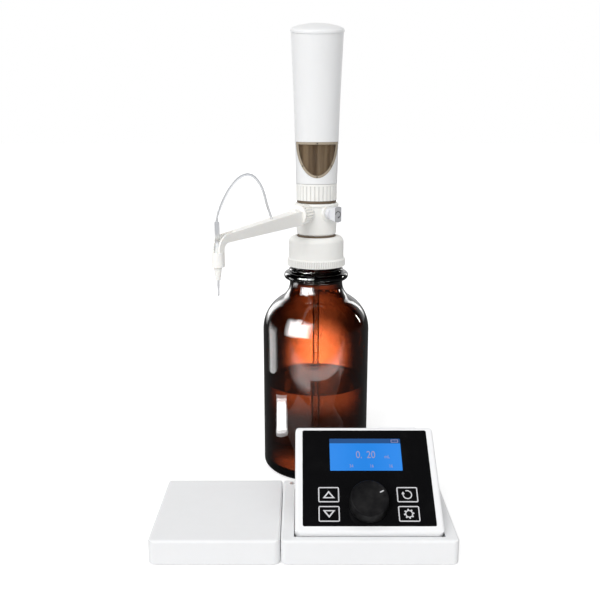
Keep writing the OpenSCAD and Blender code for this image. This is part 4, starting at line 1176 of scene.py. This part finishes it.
@dataclass
class ControlUnit(SubAssembly):
    """The control plate with its tilting panel, display, keys and knob."""

    display_width: float = 58.5 * MM
    display_height: float = 29.0 * MM
    display_up: float = 66.7 * MM
    knob_up: float = 23.2 * MM
    key_width: float = 16.5 * MM
    key_height: float = 12.8 * MM
    key_out: float = 31.0 * MM
    key_rows: tuple[float, float] = (31.5 * MM, 15.6 * MM)
    key_corner: float = 1.3 * MM
    stroke: float = 0.9 * MM
    field_corner: float = 0.6 * MM
    band_height: float = 4.3 * MM
    triangle_radius: float = 4.4 * MM
    triangle_stroke: float = 0.95 * MM
    triangle_stretch: Colour = (1.28, 0.95, 1.0)
    triangle_shift: float = 0.9 * MM
    loop_radius: float = 3.35 * MM
    loop_width: float = 0.85 * MM
    loop_start_deg: float = 112.0
    loop_sweep_deg: float = -302.0
    loop_head: float = 1.5 * MM
    cog_radius: float = 3.0 * MM
    cog_reach: float = 1.36
    cog_stroke: float = 0.8 * MM
    index_size: tuple[float, float] = (0.9 * MM, 3.4 * MM)
    index_turn_deg: float = -62.0
    index_out: float = 11.0 * MM
    small_corner: float = 0.3 * MM
    capital_share: float = 0.7
    narrow: float = 0.8
    # Figures on the display, in mm: name, text, height, place across, drop below the top edge
    figures_mm: tuple[tuple[str, str, float, float, float], ...] = (
        ("figure_units", "0.", 6.4, -5.4, 15.0), ("figure_decimals", "20", 6.4, 4.4, 15.0),
        ("figure_unit_name", "mL", 3.0, 17.4, 16.6), ("figure_small_0", "34", 2.8, -12.0, 25.0),
        ("figure_small_1", "16", 2.8, 4.5, 25.0), ("figure_small_2", "16", 2.8, 20.0, 25.0))
    ink: float = 0.04 * MM

    def face_at(self, across: float, up: float, out: float = 0.0) -> Matrix:
        """Frame at a place on the panel's face.

        Args:
            across: distance from the panel's centre line.
            up: distance up the face from its front edge.
            out: height above the glass.

        Returns:
            The place, with z out of the face.
        """
        return self.layout.on_face() @ Matrix.Translation((across, up - self.knob_up, out))

    def rounded_plate(self, width: float, height: float, corner: float) -> Sheet:
        """A flat rectangle with round corners.

        Args:
            width: size across.
            height: size up the face.
            corner: radius of its corners.

        Returns:
            A mesh of one face.
        """
        mesh = bmesh.new()
        bmesh.ops.create_grid(mesh, x_segments=1, y_segments=1, size=0.5)
        bmesh.ops.scale(mesh, vec=(width, height, 1), verts=mesh.verts)
        bmesh.ops.bevel(mesh, geom=mesh.verts[:], offset=corner, offset_type="OFFSET", segments=6,
                        profile=0.5, affect="VERTICES", material=-1)
        return mesh

    def hollowed(self, mesh: Sheet, stroke: float) -> Sheet:
        """Leaves only a border of a flat face.

        Args:
            mesh: a mesh of one face.
            stroke: the border's width.

        Returns:
            The same mesh, with its middle taken out.
        """
        middle_face = max(mesh.faces, key=lambda f: f.calc_area())
        bmesh.ops.inset_region(mesh, faces=[middle_face], thickness=stroke, use_even_offset=True,
                               use_boundary=True)
        biggest = max(mesh.faces, key=lambda f: f.calc_area())
        bmesh.ops.delete(mesh, geom=[biggest], context="FACES_ONLY")
        return mesh

    def print_on_face(self, name: str, mesh: Sheet, across: float, up: float, finish: Finish,
                      out: float = 0.0, turn: float = 0.0) -> None:
        """Lays a flat shape on the glass as a film.

        Args:
            name: the piece's name.
            mesh: the flat shape, round the origin.
            across: its place across the face.
            up: its place up the face.
            finish: its finish.
            out: the height of its underside above the glass.
            turn: its turn in degrees, seen from in front.
        """
        place = self.face_at(across, up, out) @ Matrix.Rotation(math.radians(turn), 4, "Z")
        add_piece(name, film(mesh, self.ink), "panel", finish, self.palette, place)

    def arrow_loop(self) -> Sheet:
        """A ring that is open at its upper left, with an arrow head on that end.

        Returns:
            The flat mesh.
        """
        radius, end = self.loop_radius, math.radians(self.loop_start_deg + self.loop_sweep_deg)
        tip = Vector((radius * math.cos(end), radius * math.sin(end) + 0.6 * MM, 0))
        return open_ring(radius, self.loop_width, self.loop_start_deg, self.loop_sweep_deg, 36,
                         self.loop_head, tip)

    def triangle(self) -> Sheet:
        """The border of a three-cornered mark that points up.

        Returns:
            The flat mesh.
        """
        mark = bmesh.new()
        bmesh.ops.create_circle(mark, cap_ends=True, segments=3, radius=self.triangle_radius)
        self.hollowed(mark, self.triangle_stroke)
        bmesh.ops.scale(mark, vec=self.triangle_stretch, verts=mark.verts)
        return mark

    def cog(self) -> Sheet:
        """The border of a cog with eight broad teeth.

        Returns:
            The flat mesh.
        """
        mesh = bmesh.new()
        bmesh.ops.create_circle(mesh, cap_ends=True, segments=48, radius=self.cog_radius)
        for i, point in enumerate(mesh.verts):
            if i % 6 < 3:
                point.co *= self.cog_reach
        return self.hollowed(mesh, self.cog_stroke)

    def words(self, text: str, height: float) -> Sheet:
        """Plain figures as a flat mesh.

        Args:
            text: what to write.
            height: the figures' height.

        Returns:
            The mesh, centred on the origin.
        """
        curve = bpy.data.curves.new("figures", "FONT")
        curve.body = text
        curve.size = height / self.capital_share
        curve.align_x = curve.align_y = "CENTER"
        holder = place_object("figures", curve)
        mesh = bmesh.new()
        mesh.from_mesh(holder.to_mesh())
        holder.to_mesh_clear()
        bpy.data.objects.remove(holder)
        bmesh.ops.remove_doubles(mesh, verts=mesh.verts, dist=1e-7)
        bmesh.ops.scale(mesh, vec=(self.narrow, 1, 1), verts=mesh.verts)
        return mesh

    def display(self) -> None:
        """The lit field with its figures."""
        up, ink = self.display_up, Palette.segment_ink
        spot = self.face_at(0, up)
        lit = LitField("lit_display", "display_blue", (0.018, 0.19, 0.62),
                       band_from=self.display_height / 2 - self.band_height,
                       tilt=self.layout.face_tilt, origin=tuple(spot.translation))
        field = self.rounded_plate(self.display_width, self.display_height, self.field_corner)
        self.print_on_face("display_field", field, 0, up, lit)
        top = up + self.display_height / 2
        for name, text, height, across, drop in self.figures_mm:
            self.print_on_face(name, self.words(text, height * MM), across * MM, top - drop * MM, ink,
                               self.ink)
        cell = self.hollowed(self.rounded_plate(6.0 * MM, 2.6 * MM, self.small_corner), 0.45 * MM)
        self.print_on_face("battery_mark", cell, 24.6 * MM, top - 2.2 * MM, ink, self.ink)

    def keys(self) -> None:
        """The four printed touch keys with their symbols."""
        upper, lower = self.key_rows
        places = [(side * self.key_out, up) for side in (-1, 1) for up in self.key_rows]
        for i, (across, up) in enumerate(places):
            border = self.hollowed(self.rounded_plate(self.key_width, self.key_height, self.key_corner),
                                   self.stroke)
            self.print_on_face(f"key_border_{i}", border, across, up, Palette.key_ink)
        for i, (up, turn) in enumerate(((upper, 0), (lower, 180))):
            shift = self.triangle_shift if turn else -self.triangle_shift
            self.print_on_face(f"key_arrow_{i}", self.triangle(), -self.key_out, up + shift,
                               Palette.key_ink, turn=turn)
        self.print_on_face("key_repeat_mark", self.arrow_loop(), self.key_out, upper, Palette.key_ink)
        self.print_on_face("key_settings_mark", self.cog(), self.key_out, lower, Palette.key_ink)

    def index(self) -> None:
        """The short pale line on the knob's face."""
        face = self.layout.on_face()
        line = film(self.rounded_plate(*self.index_size, self.small_corner), self.ink)
        place = (face @ Matrix.Rotation(math.radians(self.index_turn_deg), 4, "Z")
                 @ Matrix.Translation((0, self.index_out, reach_of("control_knob", face))))
        add_piece("knob_index", line, "dial", Palette.key_ink, self.palette, place)

    def build(self) -> None:
        """Prints the panel's face and dresses the unit's nodes."""
        self.display()
        self.keys()
        self.index()
        self.dress_nodes({
            Palette.shell_white: ["control_cover", "panel_housing", "panel_back", "port_flap"],
            Palette.bottom_grey: ["control_bottom"], Palette.mark_grey: ["status_mark"],
            Palette.steel: ["hinge_pins", "panel_screws", "knob_shaft"],
            Palette.board_green: ["link_board", "panel_board"], Palette.panel_black: ["panel_glass"],
            Palette.display_back: ["display_module"], Palette.motor_dark: ["encoder"],
            Palette.cell_wrap: ["panel_battery"], Palette.knob_black: ["control_knob"],
        })


@dataclass
class StirrerPlate(SubAssembly):
    """The stirrer plate and what drives its magnets, with the feet and screws of both plates."""

    def build(self) -> None:
        """Dresses the plate's nodes."""
        self.dress_nodes({
            Palette.shell_white: ["stirrer_cover"], Palette.bottom_grey: ["stirrer_bottom"],
            Palette.motor_dark: ["stirrer_motor", "magnet_rotor"],
            Palette.steel: ["magnets", "base_screws"], Palette.foot_rubber: ["rubber_feet"],
        })


# ---- Studio ----

@dataclass
class Studio:
    """Floor, light and camera. None of it belongs to the object."""

    layout: Layout
    camera_from_axis: tuple[float, float, float] = (-0.0153, -0.698, 0.329)
    camera_pitch_deg: float = 13.2
    lens_mm: float = 45.0
    ambient: float = 0.7
    front_gloss: float = 0.1
    side_gloss: float = 0.02
    sun_towards: tuple[float, float, float] = (0.4, 0.75, -0.6)
    sun_strength: float = 1.62
    sun_spread_deg: float = 40.0
    softbox_at: tuple[float, float, float] = (-0.62, -0.62, 0.86)
    softbox_aim: tuple[float, float, float] = (0.0, 0.0, 0.16)
    softbox_size: tuple[float, float] = (0.34, 0.24)
    softbox_power: float = 3.0
    floor_reach: float = 12.0
    floor_colour: tuple[float, float, float, float] = (0.7, 0.7, 0.7, 1.0)
    floor_in_gloss: tuple[float, float, float, float] = (0.1, 0.1, 0.1, 1.0)
    floor_glow: float = 0.5
    card_reach: float = 0.06
    card_from_axis: tuple[float, float] = (0.004, 0.075)
    # Each of the bottle's lamps is a stack of sheets, so that its reflection brightens inwards
    sheet_shares: tuple[float, ...] = (1.0, 0.84, 0.68, 0.52)
    sheet_gap: float = 0.004
    # Bright cards behind the bottle: height above the table, half width, half height, strength
    glows: tuple[tuple[float, float, float, float], ...] = (
        (0.088, 0.045, 0.05, 42.0), (0.052, 0.06, 0.03, 6.5), (0.15, 0.05, 0.04, 6.0))
    # Lamps seen in the bottle's gloss, from its axis: place, aim, width, height, brightness
    bottle_gloss: tuple[tuple[str, Colour, Colour, float, float, float], ...] = (
        ("shoulder_softbox", (-0.66, -0.78, 0.42), (-0.017, -0.046, 0.147), 1.3, 1.1, 13.0),
        ("left_panel", (-0.33, 0.07, 0.04), (-0.041, -0.029, 0.08), 0.2, 0.28, 2.0),
        ("left_low_strip", (-0.115, -0.05, 0.027), (-0.033, -0.038, 0.06), 0.06, 0.045, 18.0),
        ("liquid_band", (0.01, -0.12, 0.078), (0.01, -0.05, 0.098), 0.34, 0.04, 1.7),
        ("right_strip", (0.75, 0.3, 0.34), (0.022, -0.015, 0.177), 0.05, 0.25, 20.0),
        ("left_back_panel", (-0.373, 0.483, 0.32), (-0.038, -0.014, 0.163), 0.3, 0.5, 2.4),
        ("right_back_panel", (0.36, 0.49, 0.36), (0.034, -0.015, 0.166), 0.12, 0.5, 2.4))

    def camera(self) -> None:
        """The photograph's viewpoint: level sideways, looking a little down."""
        data = bpy.data.cameras.new("photo_camera")
        data.lens = self.lens_mm
        data.sensor_width = 36.0
        data.clip_start = 0.01
        data.clip_end = 30
        camera = place_object("photo_camera", data)
        camera.location = self.layout.bottle_axis + Vector(self.camera_from_axis)
        camera.rotation_euler = (math.radians(90 - self.camera_pitch_deg), 0, 0)
        bpy.context.scene.camera = camera

    def world(self) -> None:
        """White behind everything, an even ambient light, and a darker ceiling in reflections."""
        world = bpy.data.worlds.new("studio")
        bpy.context.scene.world = world
        world.use_nodes = True
        w = Wiring(world.node_tree)
        shade = world.node_tree.nodes["Background"]
        ray = w.add("LightPath")
        _, back, up = w.parts(w.add("TexCoord").outputs["Generated"])
        ceiling = w.span(up, 0.25, 0.75, 1.0, 0.1)
        backdrop = w.math("MAXIMUM", w.span(back, 0.5, 0.85, self.side_gloss, 1.0),
                          w.span(back, -0.3, -0.8, 0.0, self.front_gloss))
        seen = w.math("MAXIMUM", ray.outputs["Is Camera Ray"], ray.outputs["Is Transmission Ray"])
        gloss = w.math("MULTIPLY", ray.outputs["Is Glossy Ray"], w.math("MULTIPLY", ceiling, backdrop))
        unseen = w.math("SUBTRACT", 1.0, w.math("MAXIMUM", seen, ray.outputs["Is Glossy Ray"]), clamp=True)
        dim = w.math("MULTIPLY", unseen, self.ambient)
        level = w.math("ADD", w.math("MAXIMUM", seen, gloss), dim)
        w.settle(shade, {"Strength": level, "Color": (1, 1, 1, 1)})

    def floor(self) -> None:
        """A wide pale floor that shows white and keeps the object's shadow."""
        mesh = bmesh.new()
        bmesh.ops.create_grid(mesh, x_segments=1, y_segments=1, size=self.floor_reach)
        material, w, shader = start_material("pale_floor")
        ray = w.add("LightPath")
        seen = w.math("MAXIMUM", ray.outputs["Is Camera Ray"], ray.outputs["Is Transmission Ray"])
        shade = w.mix(ray.outputs["Is Glossy Ray"], self.floor_colour, self.floor_in_gloss)
        w.settle(shader, {"Base Color": shade, "Roughness": 0.9, "Specular IOR Level": 0.0,
                          "Emission Color": (1, 1, 1, 1),
                          "Emission Strength": w.math("MULTIPLY", seen, self.floor_glow)})
        place_mesh("floor", mesh, material)

    def glow_card(self, level: float, half_width: float, half_height: float, strength: float) -> None:
        """A soft-edged bright card close behind the bottle that only light through glass can see.

        Args:
            level: the card's height above the table.
            half_width: where its light ends sideways.
            half_height: where its light ends upwards.
            strength: its strength in the middle.
        """
        mesh = bmesh.new()
        bmesh.ops.create_grid(mesh, x_segments=1, y_segments=1, size=self.card_reach)
        across, back = self.card_from_axis
        # A higher card stands a little further back, so that no two lie in one plane
        at = self.layout.bottle_axis + Vector((across, back + level / 100, level))
        bmesh.ops.transform(mesh, matrix=Matrix.Translation(at) @ Matrix.Rotation(math.pi / 2, 4, "X"),
                            verts=mesh.verts, space=Matrix.Identity(4))
        material, w, shader = start_material("glow_card")
        w.tree.nodes.remove(shader)
        stretch = (1 / half_width, 1.0, 1 / half_height)
        reach = w.length(w.placed(stretch, tuple(-a * b for a, b in zip(at, stretch))))
        share = w.span(reach, 0.1, 1.0, 1.0, 0.0)
        clear, glow = w.add("BsdfTransparent"), w.add("Emission")
        w.put(glow.inputs["Strength"], strength)
        both = w.add("MixShader", share, clear.outputs[0], glow.outputs[0])
        w.put(w.tree.nodes["Material Output"].inputs["Surface"], both.outputs[0])
        card = place_mesh("glow_card", mesh, material)
        card.visible_camera = card.visible_diffuse = card.visible_glossy = False
        card.visible_shadow = card.visible_volume_scatter = False

    def lamp(self, name: str, kind: str, power: float, towards: Vector) -> bpy.types.Object:
        """Adds a lamp at the origin.

        Args:
            name: the lamp's name.
            kind: Blender's name of its kind.
            power: its strength, or its power in watts.
            towards: the direction that its light travels.

        Returns:
            The lamp.
        """
        data = bpy.data.lights.new(name, kind)
        data.energy = power
        lamp = place_object(name, data)
        lamp.rotation_mode = "QUATERNION"
        lamp.rotation_quaternion = towards.to_track_quat("-Z", "Y")
        return lamp

    def sun(self) -> None:
        """A very soft lamp that lights everything evenly and shows in no gloss."""
        lamp = self.lamp("key_sun", "SUN", self.sun_strength, Vector(self.sun_towards))
        lamp.data.angle = math.radians(self.sun_spread_deg)
        lamp.visible_glossy = False

    def softbox(self, name: str, at: Vector, aim: Vector, width: float, height: float,
                power: float, lights: bpy.types.Collection | None = None) -> None:
        """A rectangular lamp that shows only in gloss.

        Args:
            name: the lamp's name.
            at: its place.
            aim: the point that it faces.
            width: its width.
            height: its height.
            power: its power in watts.
            lights: the only pieces that it shines on, or everything.
        """
        lamp = self.lamp(name, "AREA", power, aim - at)
        lamp.location = at
        lamp.data.shape = "RECTANGLE"
        lamp.data.size, lamp.data.size_y = width, height
        lamp.visible_diffuse = lamp.visible_camera = lamp.visible_transmission = False
        if lights:
            lamp.light_linking.receiver_collection = lights

    def build(self) -> None:
        """Sets up the view, the floor and the lamps."""
        bpy.context.scene.view_settings.view_transform = "Standard"
        self.camera()
        self.world()
        self.floor()
        for card in self.glows:
            self.glow_card(*card)
        self.sun()
        aim = self.layout.bottle_axis + Vector(self.softbox_aim)
        self.softbox("left_softbox", Vector(self.softbox_at), aim, *self.softbox_size, self.softbox_power)

    def bottle_lamps(self, glass: bpy.types.Object) -> None:
        """Lamps whose reflections show on the bottle alone.

        Args:
            glass: the bottle.
        """
        only = bpy.data.collections.new("lit_glass")
        only.objects.link(glass)
        axis = self.layout.bottle_axis
        for name, at, aim, width, height, bright in self.bottle_gloss:
            for step, share in enumerate(self.sheet_shares):
                wide, high = width * share, height * share
                spot = Vector(at).lerp(Vector(aim), self.sheet_gap * step)
                glow = bright * (step + 1) / len(self.sheet_shares)
                self.softbox(f"{name}_{step}", axis + spot, axis + Vector(aim), wide, high,
                             math.pi * wide * high * glow, only)


def main() -> None:
    """Builds the studio and every sub-assembly."""
    logging.basicConfig(level=logging.INFO, format="%(name)s: %(message)s")
    layout = Layout.from_frame()
    palette = Palette(Groups())
    studio = Studio(layout)
    studio.build()
    for kind in (NozzleArm, ReagentBottle, ValveStack, DriveHead, ControlUnit, StirrerPlate):
        kind(layout, palette).build()
    studio.bottle_lamps(bpy.data.objects["bottle_glass"])


if __name__ == "__main__":
    main()
